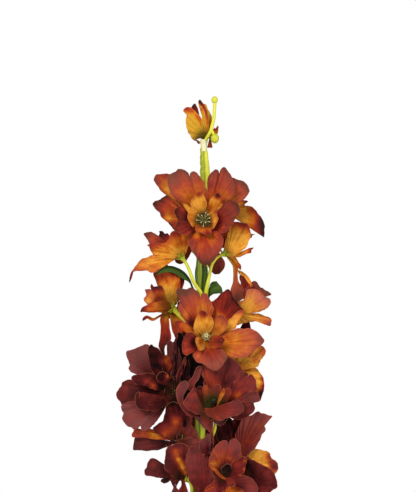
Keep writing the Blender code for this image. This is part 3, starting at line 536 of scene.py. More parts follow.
def addTube(shape, line, radii, sides, ripe):
    points, faces = tubeShape(line, radii, sides)
    addShape(shape, points, faces, ripe)


def addBall(shape, ripe, *ball):
    points, faces = ballShape(*ball)
    addShape(shape, points, faces, ripe)


# Petals. The blades that face the viewer have their own cut outline, traced from the photo, and lie as
# deep as the solid they stand for. The others are shaped by the solid's own few numbers.
photo = {  # cut, edges and the spots of dye and painted light are in its pixels: columns from its left side, rows from its top
    "mmPerPixel": 0.75,
    "axisColumn": 205,  # the column that stands over the middle of the vase
    "lastRow": 492,  # the row at headLow
}


def fromPhoto(traced):  # photo pixels to mm to the right of the vase's axis and up from headLow
    columns, rows = np.array(traced, float).T
    return np.stack((columns - photo["axisColumn"], photo["lastRow"] - rows), -1) * photo["mmPerPixel"]


petalMake = {
    "thickness": 0.34,
    "step": 1.3,  # mm between the points along a cut outline
    "rows": 13,  # from the root of a cut petal to its margin
    "rootShare": 0.3,  # how wide the root is, as a share of the outline's open end
    "sideReach": 0.5,  # how little of the margin's colour the sides near the root get
    "wave": (11.0, 6.3),  # mm from crest to crest along the margin, long waves and short ones
    "waveHigh": 0.75,
    "fold": 5.6,  # mm between the radial folds at the margin
    "foldHigh": 0.46,
    "crease": 0.8,  # depth of the fold down the middle
    "rimDark": {"petal_gold": 0.3, "petal_orange": 0.32, "petal_burgundy": 0.1},  # added at the cut edge
    "fray": ((0.75, 5.5), (0.45, 2.2)),  # height and length in mm of the small waves of the cut
    "sweep": 0.16,  # how far the side edges fall behind the middle, as a share of the length
    "roundTip": 0.10,  # how much more the corners of the tip are cut away
    "notchHalf": 0.2,  # half the width of the notch in the tip, as a share of half the petal
    "rootOut": 2.0,  # mm from the bloom's axis to a petal's root
    "rootSpread": 2.0,  # mm along the axis from the first petal's root to the last one's
    "rootBehind": 0.8,  # how much of that lies behind the heart
    "bendAt": 0.45,
    "ruffle": 0.075,  # height of the waves along the margin, as a share of the width
    "pleat": 0.022,  # depth of the folds that run out to the margin, as a share of the width
    "wobble": 0.05,  # unevenness of the cut outline
    "edgeLine": 0.4,  # mm of pale cut cloth at the margin
    "outerPaler": 0.07,  # the back of the cloth took less dye
    "tipWaves": ((0.6, 4.1), (0.4, 10.5)),  # share and radians of a tip's long and short waves
    "edgeWaves": ((0.6, 7.0, 1.9), (0.4, 17.0, 1.0)),  # the same for the sides, and how the two sides differ
    "sideRuffle": (1.0, 5.6),
    "endRuffle": (0.8, 5.2),
    "fineRuffle": (0.35, 14.0),
    "pleats": 7.5,  # radians across half a petal
    "creaseHalf": 0.16,  # of the fold down the middle, as a share of half the petal
    "curlFrom": 0.6,  # where along a petal its curl begins
    "bendShare": 0.4,  # how much of a petal's bend its middle follows
    "frayFrom": 6.0,  # mm from the root where the cut has its full fray
    "waveMix": (0.6, 0.4),
    "waviness": (0.55, 25.0),  # least, and the half width in mm that adds one more
    "stripColumns": 9,
    "stripWaves": 0.5,  # how high a strip's waves and fold are, as a share of a broad petal's
    "stripFold": 0.3,
    "reachSway": 0.05,
    "marginFrom": 0.64,  # where along a petal the dark margin begins
    "marginPower": 2.5,
    "sideRipe": 0.10,
    "ripeSway": 0.03,
    "throatFade": 0.57,
    "throatPower": 1.3,
    "coreRadius": {"open": 2.4, "side": 1.7, "tip": 1.2},
    # of the knot: ripeness, and how much painted throat shade darkens it
    "coreTone": {"petal_gold": (0.6, 0.6), "petal_orange": (0.6, 0.6), "petal_burgundy": (0.92, 0.1)},
    "coreTall": 0.95,
    "extraRoot": 0.4,  # where the roots of added petals sit between the first and the last
    "gridWide": (19, 25),  # points across and along a petal without an outline of its own
    "gridNarrow": (13, 19),
    "wideFrom": 16.0,  # mm
}
bladeShapes = {  # share of the width at the root, where it is widest, share at the tip, power near the root
    "broad": (0.12, 0.72, 0.7, 1.6),
    "point": (0.18, 0.45, 0.1, 1.1),
}


def petal(right, front, up, width=0, bow=4.0, cup=0.6, curl=0.0, notch=0.0, via=None, face=None,
          ripe=(0.3, 0.7, 1.0), bend=0.0, cut=None, edges=None, spots=(), blush=0.05, extra=False, shade=1.0):
    return {
        "tip": place(right, front, up),  # from the bloom's heart
        "via": place(*via) if via else None,  # where it passes on its way to the tip
        "face": place(*face).normalized() if face else None,
        "width": width * mm,
        "bow": bow * mm,
        "curl": curl * mm,
        "cup": cup,
        "notch": notch,
        "bend": bend,  # mm that the tip is brought forwards
        "shape": "broad",
        "cut": cut,
        "edges": edges,
        "ripe": ripe,  # at the heart, at the margin, and how the one becomes the other
        "spots": spots,  # column, row, radius and change of ripeness: patches of dye, and painted shade and painted highlights
        # how much painted sheen the petal takes
        "blush": blush,
        # the share of the painted throat shade that this petal takes
        "shade": shade,
        "extra": extra,
    }


ringMake = {  # whole rings of petals, for the blooms and the backs that the photo doesn't show
    "outer": {"count": 5, "rise": 8, "width": 25, "bow": 4, "cup": 0.5, "curl": -2, "notch": 0.07},
    "inner": {"count": 2, "rise": 13, "width": 14, "bow": 2, "cup": 0.9},
    "backs": {"count": 6, "rise": -11, "bow": -3, "cup": 0.7, "curl": 2, "notch": 0.05},
    "innerReach": 0.5,  # as a share of the outer petals' reach
    "innerTurn": 40,
    "backTurn": 17,
    "backWider": 2,  # mm by which a back petal is wider than it reaches
    "uneven": {"turn": 6, "reach": 0.08, "rise": 0.3},
    "lean": 14,  # degrees
}


def ringOf(facing, reach, turn, ripe, count, rise, **shape):
    axis = place(*facing).normalized()
    across = axis.orthogonal().normalized()
    other = axis.cross(across)
    uneven = ringMake["uneven"]
    petals = []
    for k in range(count):
        angle = math.radians(turn + 360 * k / count + uneven["turn"] * math.sin(5 * k + turn))
        length = reach * (1 + uneven["reach"] * math.sin(3 * k + turn))
        lift = rise * (1 + uneven["rise"] * math.cos(2 * k + turn))
        tip = (across * math.cos(angle) + other * math.sin(angle)) * length + axis * lift
        made = petal(tip.x, -tip.y, tip.z, ripe=ripe, **shape)
        made["face"] = Matrix.Rotation(math.radians(ringMake["lean"]), 3, tip) @ axis
        petals.append(made)
    return petals


def ring(facing, reach, turn, ripe, bends=None):
    made = ringOf(facing, reach, turn, ripe, **ringMake["outer"])
    innerReach, innerTurn = reach * ringMake["innerReach"], turn + ringMake["innerTurn"]
    made += ringOf(facing, innerReach, innerTurn, ripe, **ringMake["inner"])
    for number, shift in (bends or {}).items():
        made[number]["bend"] = shift
    return made


# Blooms from the top down
tipBloom = {
    "name": "tip", "cloth": "petal_gold", "heart": (-1.2, 0, 265.5), "facing": (-0.15, 0.1, 1), "drop": 0,
}
tipBloom["petals"] = [
    petal(-7, 5, 24.5, cup=0.8, via=(-13, 8, 8), ripe=(-0.02, 0.02, 1),
        cut=[(206, 137), (203.5, 138.2), (200, 138.5), (197, 139.4), (194.3, 140.2), (191.6, 138.3),
        (189.2, 134.8), (187.3, 130.5), (186.2, 125), (186, 119), (186.3, 113.8), (184, 110.8),
        (184.6, 108.5), (187, 107.2), (190, 107.6), (192.5, 109), (195, 110.8), (198, 113.6), (200.4, 116),
        (200.9, 118), (200.7, 121), (201.6, 124), (202.8, 128), (204.5, 133)],
        spots=[(187, 109.5, 4, 0.42), (192, 111, 3, 0.4), (196.5, 116, 3, 0.34), (199.5, 119.5, 2.8, 0.4),
        (201, 125, 2.2, 0.26)]),
    petal(-10.5, -4, 25, cup=0.9, via=(-13, -5, 8), ripe=(0.5, 0.84, 0.8),
        cut=[(200, 130), (193, 120), (190.8, 110), (191.6, 107.2), (193.3, 104.4), (195, 103.5),
        (196.7, 105.4), (197.8, 109), (198.7, 112), (199, 116), (201, 126), (203, 131)]),
    petal(-3.5, 2, 28.5, cup=1.0, curl=1, via=(11, 4, 12), ripe=(0.0, 0.06, 1), bend=3,
        cut=[(206.3, 137.2), (203.5, 137.8), (201.8, 130), (201, 121.5), (201.9, 116.5), (202.6, 112.5),
        (200.8, 110.8), (199.6, 107), (198.6, 103.2), (200.2, 101), (202.2, 102.4), (205.2, 104.2),
        (208, 108.5), (210.3, 113.5), (211.7, 119), (211.6, 124), (210.3, 129), (208.6, 133.5)],
        spots=[(205, 134.5, 5, 0.1), (209, 122, 4, 0.14), (208.9, 128.5, 1.6, 0.7),
        (201.2, 109.6, 2, 0.4)]),
    petal(-4, 7, 26, cup=0.9, via=(7, 9, 9), ripe=(0.26, 0.82, 1.6),
        edges=([(205.8, 136), (206.7, 129), (206.3, 121), (205.2, 114.5), (203.6, 109.5), (201.2, 105.5),
        (198.6, 103), (198.6, 100.5)],
        [(207.8, 136), (208.7, 129), (208.6, 122), (207.7, 115), (206.2, 109.5), (203.8, 104.8),
        (201.5, 101.3), (200, 99.4)]),
        spots=[(207, 133, 4, -0.1)]),
    petal(-6.5, 2, -4, bow=0, cup=0.3, ripe=(0.3, 0.5, 1),
        cut=[(195.5, 139.2), (191.8, 138.4), (194, 140.9), (196.5, 141.7), (198.8, 144), (200.1, 143.3),
        (199.4, 141.6), (197.5, 140.2)]),
    petal(5.5, 1, -7, bow=0, cup=0.3, ripe=(0.28, 0.4, 1), bend=-6,
        cut=[(209, 137), (209.4, 141), (208.6, 144.5), (207.2, 147.8), (209.8, 148), (212.3, 147.6),
        (212.1, 144.5), (211.5, 141), (211, 137)]),
    petal(10.5, -3, 7, bow=0, cup=0.4, ripe=(0.24, 0.34, 1),
        cut=[(209, 135.5), (213.3, 129.8), (214.3, 127.2), (215.9, 129), (217.9, 125.2), (218.2, 129),
        (217.3, 133.8), (214.5, 132.2), (210.5, 137)],
        spots=[(215, 128.5, 2, 0.5)]),
]
crownBloom = {
    "name": "crown", "cloth": "petal_orange", "heart": (-1, 15, 203), "facing": (0, 1, 0.12), "drop": 22,
    "stamens": 9.0,
}
crownBloom["petals"] = [
    petal(-13, 7, 38.5, bow=5, cup=0.4, curl=-2, ripe=(0.1, 0.7, 0.8), blush=0.24,
        cut=[(196, 214), (186, 207), (177, 200.5), (171.5, 194), (168.5, 187), (167.5, 180), (169, 175.5),
        (173, 172.5), (176, 171.5), (178, 169.3), (182, 169), (186, 170.8), (188.3, 173), (189, 177),
        (190.2, 173.4), (193, 171.3), (196, 172), (199.5, 176), (203.5, 181), (206, 187), (207.5, 193),
        (208, 199), (206, 209)],
        spots=[(178, 180, 9, 0.14), (200, 190, 8, -0.08), (176, 196, 6, 0.03)]),
    petal(14, 7, 39.5, bow=5, cup=0.5, curl=-2, ripe=(0.2, 0.7, 0.8), blush=0.18,
        cut=[(207, 209), (208.3, 197), (208, 190), (207.6, 183), (208, 177.5), (210, 174), (213, 170.5),
        (215.5, 169.2), (218, 170.5), (219.4, 175), (220.2, 171), (222, 168.3), (224, 167.3),
        (226.5, 168.6), (229, 172.5), (231.5, 177), (233.5, 182), (234.5, 187), (233, 194), (230, 200),
        (224, 206), (213, 213)],
        spots=[(210, 185, 3.5, 0.2), (229, 196, 5, -0.12)]),
    petal(34, 1, 25, bow=3, cup=0.5, curl=-2, ripe=(0.16, 0.66, 1.2), blush=0.22,
        cut=[(212, 216), (221, 207), (227, 198), (230, 190), (231, 182), (232.5, 178), (237, 179.3),
        (242, 180.8), (245.5, 182.5), (248, 186), (249.3, 190), (248, 194), (244.5, 198.5), (240.5, 201.5),
        (236, 203), (228, 208), (217, 217)],
        spots=[(243, 184, 5, 0.1), (236, 197, 5, -0.12)]),
    petal(-36, -1, 34, bow=2, cup=0.8, curl=-1, ripe=(0.06, 0.62, 2.2), blush=0.16,
        cut=[(196, 216), (184, 209), (173, 201.5), (166, 195), (160, 189.5), (156, 184.5), (153.8, 181),
        (154.2, 177), (156.5, 174.6), (162, 173.8), (168, 173.4), (174, 176), (182, 188), (191, 201),
        (199, 212)],
        spots=[(155, 182, 2.5, 0.3), (170, 176, 5, 0.2)]),
    petal(-38, 2, 12, bow=2, cup=0.5, curl=-2, ripe=(0.14, 0.84, 1.1), blush=0.1,
        cut=[(197, 222), (186, 225), (176, 226.5), (172, 224.5), (166, 221), (161, 216.5), (159.5, 212),
        (156, 209.5), (153, 206), (152.5, 203), (155, 201), (160, 199), (164, 197), (166.3, 195.3),
        (168.5, 197), (172, 201), (178, 206), (188, 211), (197, 216)],
        spots=[(158, 203, 7, 0.12), (167, 219, 6, -0.18), (172, 210, 4, 0.12), (168, 218, 4, -0.34)]),
    petal(-22, 13, -5, bow=3, cup=0.8, curl=3, ripe=(0.5, 0.56, 1),
        cut=[(199, 216), (191, 209), (184, 206), (178, 207), (174.5, 211), (176, 216), (177.5, 220),
        (176, 224.5), (174.3, 229), (176.5, 232), (181, 233.5), (185, 235.5), (190, 233.5), (195, 229),
        (201, 224)],
        spots=[(187, 217, 7, 0.3), (178, 210, 4, 0.06), (191, 227, 5, 0.22)]),
    petal(25.5, 13, 8, bow=3, cup=0.7, curl=1, ripe=(0.48, 0.72, 0.7), blush=0.14,
        cut=[(210, 223), (215, 214), (221, 207), (226, 202), (230, 199.3), (234, 201.3), (238, 203.3),
        (239.8, 208), (239, 213), (236.5, 217.5), (233.5, 222), (231, 227), (227, 231.5), (222, 233.7),
        (216, 233.7), (212, 232), (208, 229)],
        spots=[(219, 219, 4.5, 0.28), (216, 226, 4, 0.22), (222, 229, 4, -0.14)]),
    petal(2, 8, -33, cup=0.4, via=(1, 17, -10), ripe=(0.1, 0.78, 0.9), blush=0.16,
        cut=[(195, 229), (190, 233), (188.5, 238), (188.5, 243), (191, 249), (195, 254), (198, 259),
        (201, 263.5), (204.5, 265.5), (209, 264.5), (213, 261), (217, 256.5), (220.5, 251), (223, 245),
        (223.5, 239), (221, 234.5), (216, 231.5), (211, 229)],
        spots=[(205, 234, 11, 0.16), (196, 236, 4, -0.1), (212, 238, 5, -0.08)]),
    petal(-6, 10, 20, bow=2, cup=0.8, curl=2, ripe=(0.04, 0.08, 2),
        cut=[(200, 215), (193, 210), (190.5, 205), (191.5, 200), (195, 196.5), (196.3, 193.5), (199, 191.8),
        (202.5, 193.5), (205, 197), (207, 203), (206.5, 211)],
        spots=[(199, 194.5, 2.5, 0.5), (204.5, 203, 4, 0.2)]),
    petal(11, 10, 19, bow=2, cup=0.9, curl=2, ripe=(0.12, 0.2, 2),
        cut=[(206, 213), (208.5, 205), (210.5, 199), (213, 196.5), (215.5, 193.5), (218, 192.5),
        (220.3, 195.5), (221.5, 200), (223, 203.5), (221, 207.5), (217, 211), (212, 217)],
        spots=[(217.5, 195.5, 3, 0.72), (210, 208, 4, 0.3), (222, 202, 1.8, 0.3)]),
    petal(-16, 10, 11, bow=2, cup=0.9, ripe=(0.06, 0.1, 2), bend=5,
        cut=[(202, 212), (196, 208.5), (191, 207.5), (187, 204.8), (182.5, 203.5), (184, 207), (187, 211.5),
        (187.7, 217), (190, 222.5), (194, 228), (200, 227)],
        spots=[(191, 217, 4, 0.12)]),
    petal(12, 12, -3, bow=2, cup=0.9, ripe=(0.14, 0.16, 2),
        cut=[(208, 214), (213, 210), (217, 208.5), (216.3, 213), (218.3, 217), (218, 221), (215.5, 225),
        (211.5, 229.5), (207, 226)],
        spots=[(216, 212, 2.5, 0.3)]),
    petal(-3, 13, -9, bow=1, cup=0.8, ripe=(0.26, 0.3, 2),
        cut=[(199, 221), (196.5, 224), (195.3, 228), (196, 231.5), (199, 232.3), (203, 233.2), (207, 234.6),
        (211, 234), (211, 229), (208, 224)],
        spots=[(207, 231, 3, 0.14), (208, 234, 2.5, 0.3)]),
]
shoulderBloom = {
    "name": "shoulder", "cloth": "petal_orange", "heart": (16, -8, 209), "facing": (0.75, -0.5, 0.25),
    "drop": 26,
}
shoulderBloom["petals"] = [
    petal(28.5, 6, -20, cup=0.7, via=(22, 9, 13), face=(0.3, 0.8, 0.5), ripe=(-0.04, 0.9, 1.8), bend=4,
        cut=[(228, 210), (234, 207.5), (240, 206.3), (246, 205.8), (251, 206.8), (256, 210.5),
        (259.5, 215.3), (262.5, 218.8), (264, 223.5), (264.2, 230), (264, 237.5), (261, 233.5),
        (258, 231.3), (254, 229), (249.5, 226), (244, 223), (239, 221), (234, 219), (228, 217)],
        spots=[(243, 213, 6, -0.12), (257, 213, 4, 0.12), (259, 225, 6, 0.14)]),
    petal(16, 2, 8.5, bow=2, cup=0.5, face=(0, 1, 0), ripe=(0.1, 0.6, 3),
        cut=[(230, 206), (236, 204), (240, 202.8), (243, 200.3), (248.2, 201.3), (245.3, 203.5),
        (243.5, 205.5), (238, 207), (231, 210)]),
    petal(14, -20, 13, 21, ripe=(0.15, 0.6, 1.5)),
    petal(18, -18, -9, 21, ripe=(0.15, 0.6, 1.5)),
    petal(-4, -20, 12, 19, ripe=(0.15, 0.6, 1.5)),
    petal(1, -20, -13, 21, ripe=(0.15, 0.6, 1.5)),
]
rightUpperBloom = {
    "name": "right_upper", "cloth": "petal_gold", "heart": (15.5, 5, 178), "facing": (0.5, -0.35, 0.8),
    "drop": 31, "stalkRadii": (1.7, 0.75),
    "stalk": [(0.5, 3, 143), (1, 6, 150.5), (2, 7, 156.5), (3, 7, 161.5), (4, 7, 166), (5.2, 7, 170.5),
        (8, 7.5, 174.8), (11.5, 7.8, 177.5), (14.6, 7.5, 178.6)],
}
rightUpperBloom["petals"] = [
    petal(14, 5, 23.5, cup=0.7, via=(13, 8, 9), face=(-0.3, -0.85, 0.3), ripe=(0.02, 0.32, 2.6),
        cut=[(226, 254), (224.5, 248), (226, 240), (228.5, 232), (231, 226), (233, 222), (237, 221.5),
        (241, 222.3), (245, 223.5), (248.5, 226), (250.5, 230), (250.7, 235), (249, 240.5), (247, 246),
        (243, 249), (240, 251.5), (236.5, 254.5), (233, 256.5), (229, 257)],
        spots=[(243, 225, 6, 0.2), (249, 232, 4, 0.14), (226, 247, 3.5, 0.16)]),
    petal(21, -8, 15, 17, ripe=(0.2, 0.6, 1.5)),
    petal(4, -13, 20, 20, ripe=(0.2, 0.6, 1.5)),
    petal(21, 2, 5, bow=2, cup=0.4, face=(0, 1, 0.2), ripe=(0.12, 0.66, 2.2),
        cut=[(230, 256), (236, 254.5), (241, 253.8), (244, 251.5), (248, 248.8), (253.8, 247.3),
        (251.5, 250), (251.5, 252.3), (247, 253.7), (243, 255.2), (238, 256.9), (231, 257.8)]),
    petal(11.5, 3, -12, bow=3, cup=0.5, face=(0, 1, 0), ripe=(0.14, 0.52, 1.6),
        cut=[(232, 256), (236, 258), (239, 262.3), (241.5, 266), (241.3, 269.5), (239.5, 270), (237, 266),
        (234, 261.5), (229, 257.5)]),
    petal(9.5, 8, -35, cup=0.5, curl=2, via=(9, 8, -10), face=(0.1, 1, 0.2), ripe=(0.1, 0.84, 1.7),
        bend=-15, blush=0.3,
        edges=([(224.5, 254), (227.5, 258.5), (230.5, 262.5), (232.7, 266.5), (233.2, 272), (233.2, 278),
        (232.7, 283), (231, 288), (230.3, 293), (231.8, 298), (235, 302.7)],
        [(231, 254.5), (234.5, 258), (237, 262.5), (238.2, 268), (237.6, 273), (238, 279), (240, 284),
        (244.5, 286.5), (246.8, 291), (245.8, 297), (238.5, 301.5)])),
]
leftUpperBloom = {
    "name": "left_upper", "cloth": "petal_gold", "heart": (-18, 6, 177), "facing": (-0.62, -0.25, 0.72),
    "drop": 29, "stalkRadii": (1.4, 1.2),
    "stalk": [(-1.5, 3, 143), (-3.2, 6.5, 149.8), (-6.5, 7, 154.5), (-9, 7, 159), (-10.5, 7, 163),
        (-12, 7, 167.2), (-14.5, 7.5, 172), (-17.4, 8, 176.2)],
}
leftUpperBloom["petals"] = [
    petal(-10, 9, 13, cup=0.7, curl=-1, via=(-9, 10, 3), face=(0.1, -0.9, 0.4), ripe=(0.1, 0.26, 2.4),
        cut=[(181, 256.5), (174, 258.3), (168, 258), (161, 259.5), (155, 258), (152, 254), (150.5, 249.5),
        (149, 246.5), (146.3, 245.3), (150, 243.8), (155, 244.3), (161, 243.8), (166, 242), (169.5, 238.5),
        (170.3, 234.5), (172.5, 231.5), (175.5, 231.1), (179.5, 233.3), (183.5, 235), (188, 236.5),
        (188.5, 243), (187.5, 250), (185, 255)],
        spots=[(174, 234, 6, 0.36), (157, 245, 6, 0.2), (167, 242.5, 5, 0.22), (184, 244, 6.5, 0.2),
        (155, 252, 4, -0.1), (166, 249, 4, 0.1), (178, 254, 4, 0.08), (179, 234, 5, 0.2),
        (186, 241, 5, 0.14)]),
    petal(-27, 1, 16.5, cup=0.7, via=(-18, 4, 3), face=(0.5, 0.75, 0.4), ripe=(0.5, 0.62, 1), blush=0.18,
        cut=[(177, 250), (165, 248), (154, 247), (149, 244), (146.8, 240), (145.2, 236), (144, 233.3),
        (147, 232), (150.5, 231.7), (154, 233), (157.5, 235.3), (162, 238), (168, 243), (178, 248)],
        spots=[(152, 239.5, 4, -0.14), (146, 234, 3, 0.2)]),
    petal(-16, -7, 19, cup=0.7, bow=2, face=(0, 0.9, 0.3), ripe=(0.66, 0.9, 1),
        cut=[(174, 250), (164, 246), (158, 242), (158.5, 236), (159.8, 233), (159, 231.2), (161.5, 231.2),
        (163.5, 233.6), (165, 235), (168, 240), (174, 246), (178, 250)]),
    petal(-4, -5, 20, cup=0.7, bow=-2, face=(0, 0.9, 0.3), ripe=(0.6, 0.7, 1),
        cut=[(176, 250), (168, 245), (163, 240), (163.5, 236), (166, 233.5), (168, 233.4), (170, 236),
        (174, 241), (180, 248)]),
    petal(-35, 6, -10, cup=0.7, via=(-27, 9, 4), face=(0.1, 0.85, 0.5), ripe=(0.1, 0.22, 1.6), blush=0.16,
        cut=[(179, 255), (171, 256), (163, 255.3), (155, 255), (149, 256.2), (144, 258.2), (139.5, 261),
        (136, 264.8), (133.8, 268.5), (132.5, 271.5), (136, 271.2), (141, 270.3), (146, 270.6),
        (151, 272.2), (155, 272), (158.5, 269), (160.5, 265), (163, 261.3), (167, 259), (173, 257.6),
        (180, 257.5)],
        spots=[(137, 269, 4, 0.16), (148, 261, 7, -0.06), (157, 268, 5, 0.1)]),
    petal(-39, 4, -19, cup=0.5, via=(-36, 6, -5), face=(0, 1, 0), ripe=(0.3, 0.78, 1),
        edges=([(140, 262), (135, 267), (132.2, 270.5), (130.6, 273.5), (129.6, 277.5), (129.2, 282)],
        [(141, 266), (136.5, 270), (133.6, 271.5), (132.7, 275), (131.3, 279), (129.7, 282.2)])),
    petal(2.5, -6, -6, bow=2, cup=0.5, ripe=(0.5, 0.64, 1),
        cut=[(193, 246), (188, 248), (182, 252), (177, 256), (174.8, 259), (175.8, 262), (179, 264.2),
        (182.5, 263.7), (186.5, 260.7), (189, 256), (191.5, 250), (194, 248)]),
]
rearUpperBloom = {
    "name": "rear_upper", "cloth": "petal_orange", "heart": (-3, -16, 203), "facing": (-0.1, -1, 0.1),
    "drop": 24, "stamens": 8.0,
    "ringed": ring((-0.1, -1, 0.1), 26, 18, (0.2, 0.65, 1.5), bends={0: -9, 1: 3}),
}
rearUpperBloom["petals"] = [
    petal(13.5, 3, -45, cup=0.5, via=(9, -1, -18), ripe=(0.5, 0.58, 1), blush=0.18,
        edges=([(200, 226), (203, 240), (206, 251), (207.3, 258), (207.5, 264), (210, 270), (214.5, 274.5)],
        [(204, 222), (211, 237), (217, 249), (221.5, 256.5), (224.8, 262), (224.3, 268), (219.5, 274)])),
]
leftMiddleBloom = {
    "name": "left_middle", "cloth": "petal_orange", "heart": (-25.5, 4, 140), "facing": (-0.9, -0.15, 0.3),
    "drop": 25, "stalkRadii": (1.9, 1.6),
    "stalk": [(-4, 1, 117), (-9, 3.5, 123), (-15.5, 6, 129.5), (-20, 8, 133.8), (-23.6, 9, 138)],
}
leftMiddleBloom["petals"] = [
    petal(-4.5, 2, 29.5, cup=0.7, curl=-2, via=(3, 6, 13), face=(-0.4, -0.85, 0.2), ripe=(0.1, 0.54, 2),
        cut=[(168, 304), (163, 297), (159.5, 290), (157, 283.5), (154.8, 277.5), (153.2, 272.3), (157, 269),
        (159.5, 266), (162, 264), (165, 263.3), (167.5, 264.3), (168.7, 266.5), (175, 271), (179, 276),
        (180.5, 283), (180, 290), (178.5, 297), (177, 304), (174, 306)],
        spots=[(157, 281, 6, 0.2), (163, 276.5, 3, 0.3), (167, 281, 2.5, 0.24), (171, 275, 6, 0.2),
        (172, 292, 4, -0.12), (163, 266, 4, 0.4), (178, 284, 4, 0.16)]),
    petal(6, -4, 22, bow=-2, face=(0, 1, 0), ripe=(0.4, 0.62, 1),
        cut=[(176, 302), (178, 290), (178, 277), (181, 277.3), (184.7, 280), (184, 283), (181.2, 286.5),
        (180.7, 292), (178.5, 302)]),
    petal(-19.5, 5, 10, cup=0.5, curl=-1, via=(-8, 8, 7), face=(-0.3, 0.9, 0.3), ripe=(0.16, 0.36, 1.5),
        blush=0.27, bend=-10,
        cut=[(169, 306), (160, 299.5), (153.5, 293), (150.5, 289.6), (147, 289.2), (144.8, 290),
        (146.5, 295.3), (144, 298.8), (145.3, 302.4), (149, 304.8), (158, 307), (167, 308)],
        spots=[(147.5, 300.5, 3.5, -0.2), (147, 292, 3, 0.14)]),
    petal(-15, -2, 18, bow=3, face=(-0.2, 0.9, 0), ripe=(0.26, 0.3, 2), bend=6,
        cut=[(170, 304), (165, 296), (163.5, 289), (161, 286), (156, 286.5), (153, 286.2), (151.2, 284.2),
        (150.8, 288.8), (153.3, 292.3), (154.4, 297), (153.2, 300.8), (150.4, 304.2), (155, 308),
        (165, 308)],
        spots=[(156.5, 286.5, 4.5, 0.42), (162, 288, 4, 0.3), (157.5, 300, 4.5, 0.26),
        (152, 289, 3.5, 0.34), (162, 304, 5, -0.06)]),
    petal(-23, 6, -5, cup=0.7, via=(-12, 9, -3), face=(-0.2, -0.6, 0.7), ripe=(0.3, 0.34, 2), bend=3,
        cut=[(172, 306), (166, 301), (160, 301), (154, 302), (149.5, 303.8), (144.5, 306.6), (141.3, 309.4),
        (140.2, 312.4), (145, 312.3), (152, 312.3), (159, 312.6), (165, 313.2), (172, 311.5)],
        spots=[(143, 311, 3.5, 0.22), (150, 305, 4, 0.08), (158, 303.5, 5, -0.04)]),
    petal(-21, 3, -11.5, cup=0.5, bow=2, face=(0, 0.9, 0.4), ripe=(0.12, 0.74, 3),
        edges=([(166, 311.5), (160, 314.7), (156, 317), (153, 318), (150, 316.6), (147, 315.4),
        (144, 316.8), (142.2, 319.5)],
        [(166, 313.5), (160.5, 316.8), (156.5, 319.2), (153.5, 321), (150.5, 320.4), (147.5, 318.6),
        (145, 320), (142.8, 321)])),
    petal(-6, 5, -31, cup=0.5, via=(-5, 4, -14), face=(-0.2, 1, 0), ripe=(0.2, 0.95, 0.9),
        edges=([(163.5, 310), (161.5, 314), (160, 320), (160.7, 326), (160.5, 333), (159.6, 340),
        (158.5, 346), (160.5, 351), (163, 358)],
        [(169, 311), (168.7, 316), (169.3, 322), (169.8, 329), (171.3, 336), (170.3, 341), (166, 345),
        (164.5, 350), (165.5, 358)]),
        spots=[(166, 316, 6, -0.16)]),
    petal(4, 3, -26, cup=0.5, via=(2, 4, -11), face=(0.2, 1, 0), ripe=(0.12, 0.6, 1),
        edges=([(168.5, 311), (169.8, 317), (171, 324), (172.3, 331), (174.8, 336.5), (176.3, 341.5)],
        [(177, 311), (181, 317), (183, 324), (182.5, 331), (180.5, 337), (178, 342)])),
    petal(-12, -16, 3, 18, bow=3, ripe=(0.2, 0.6, 1.5)),
]
rightMiddleBloom = {
    "name": "right_middle", "cloth": "petal_gold", "heart": (27, 1, 137), "facing": (0.88, -0.1, 0.3),
    "drop": 25,
}
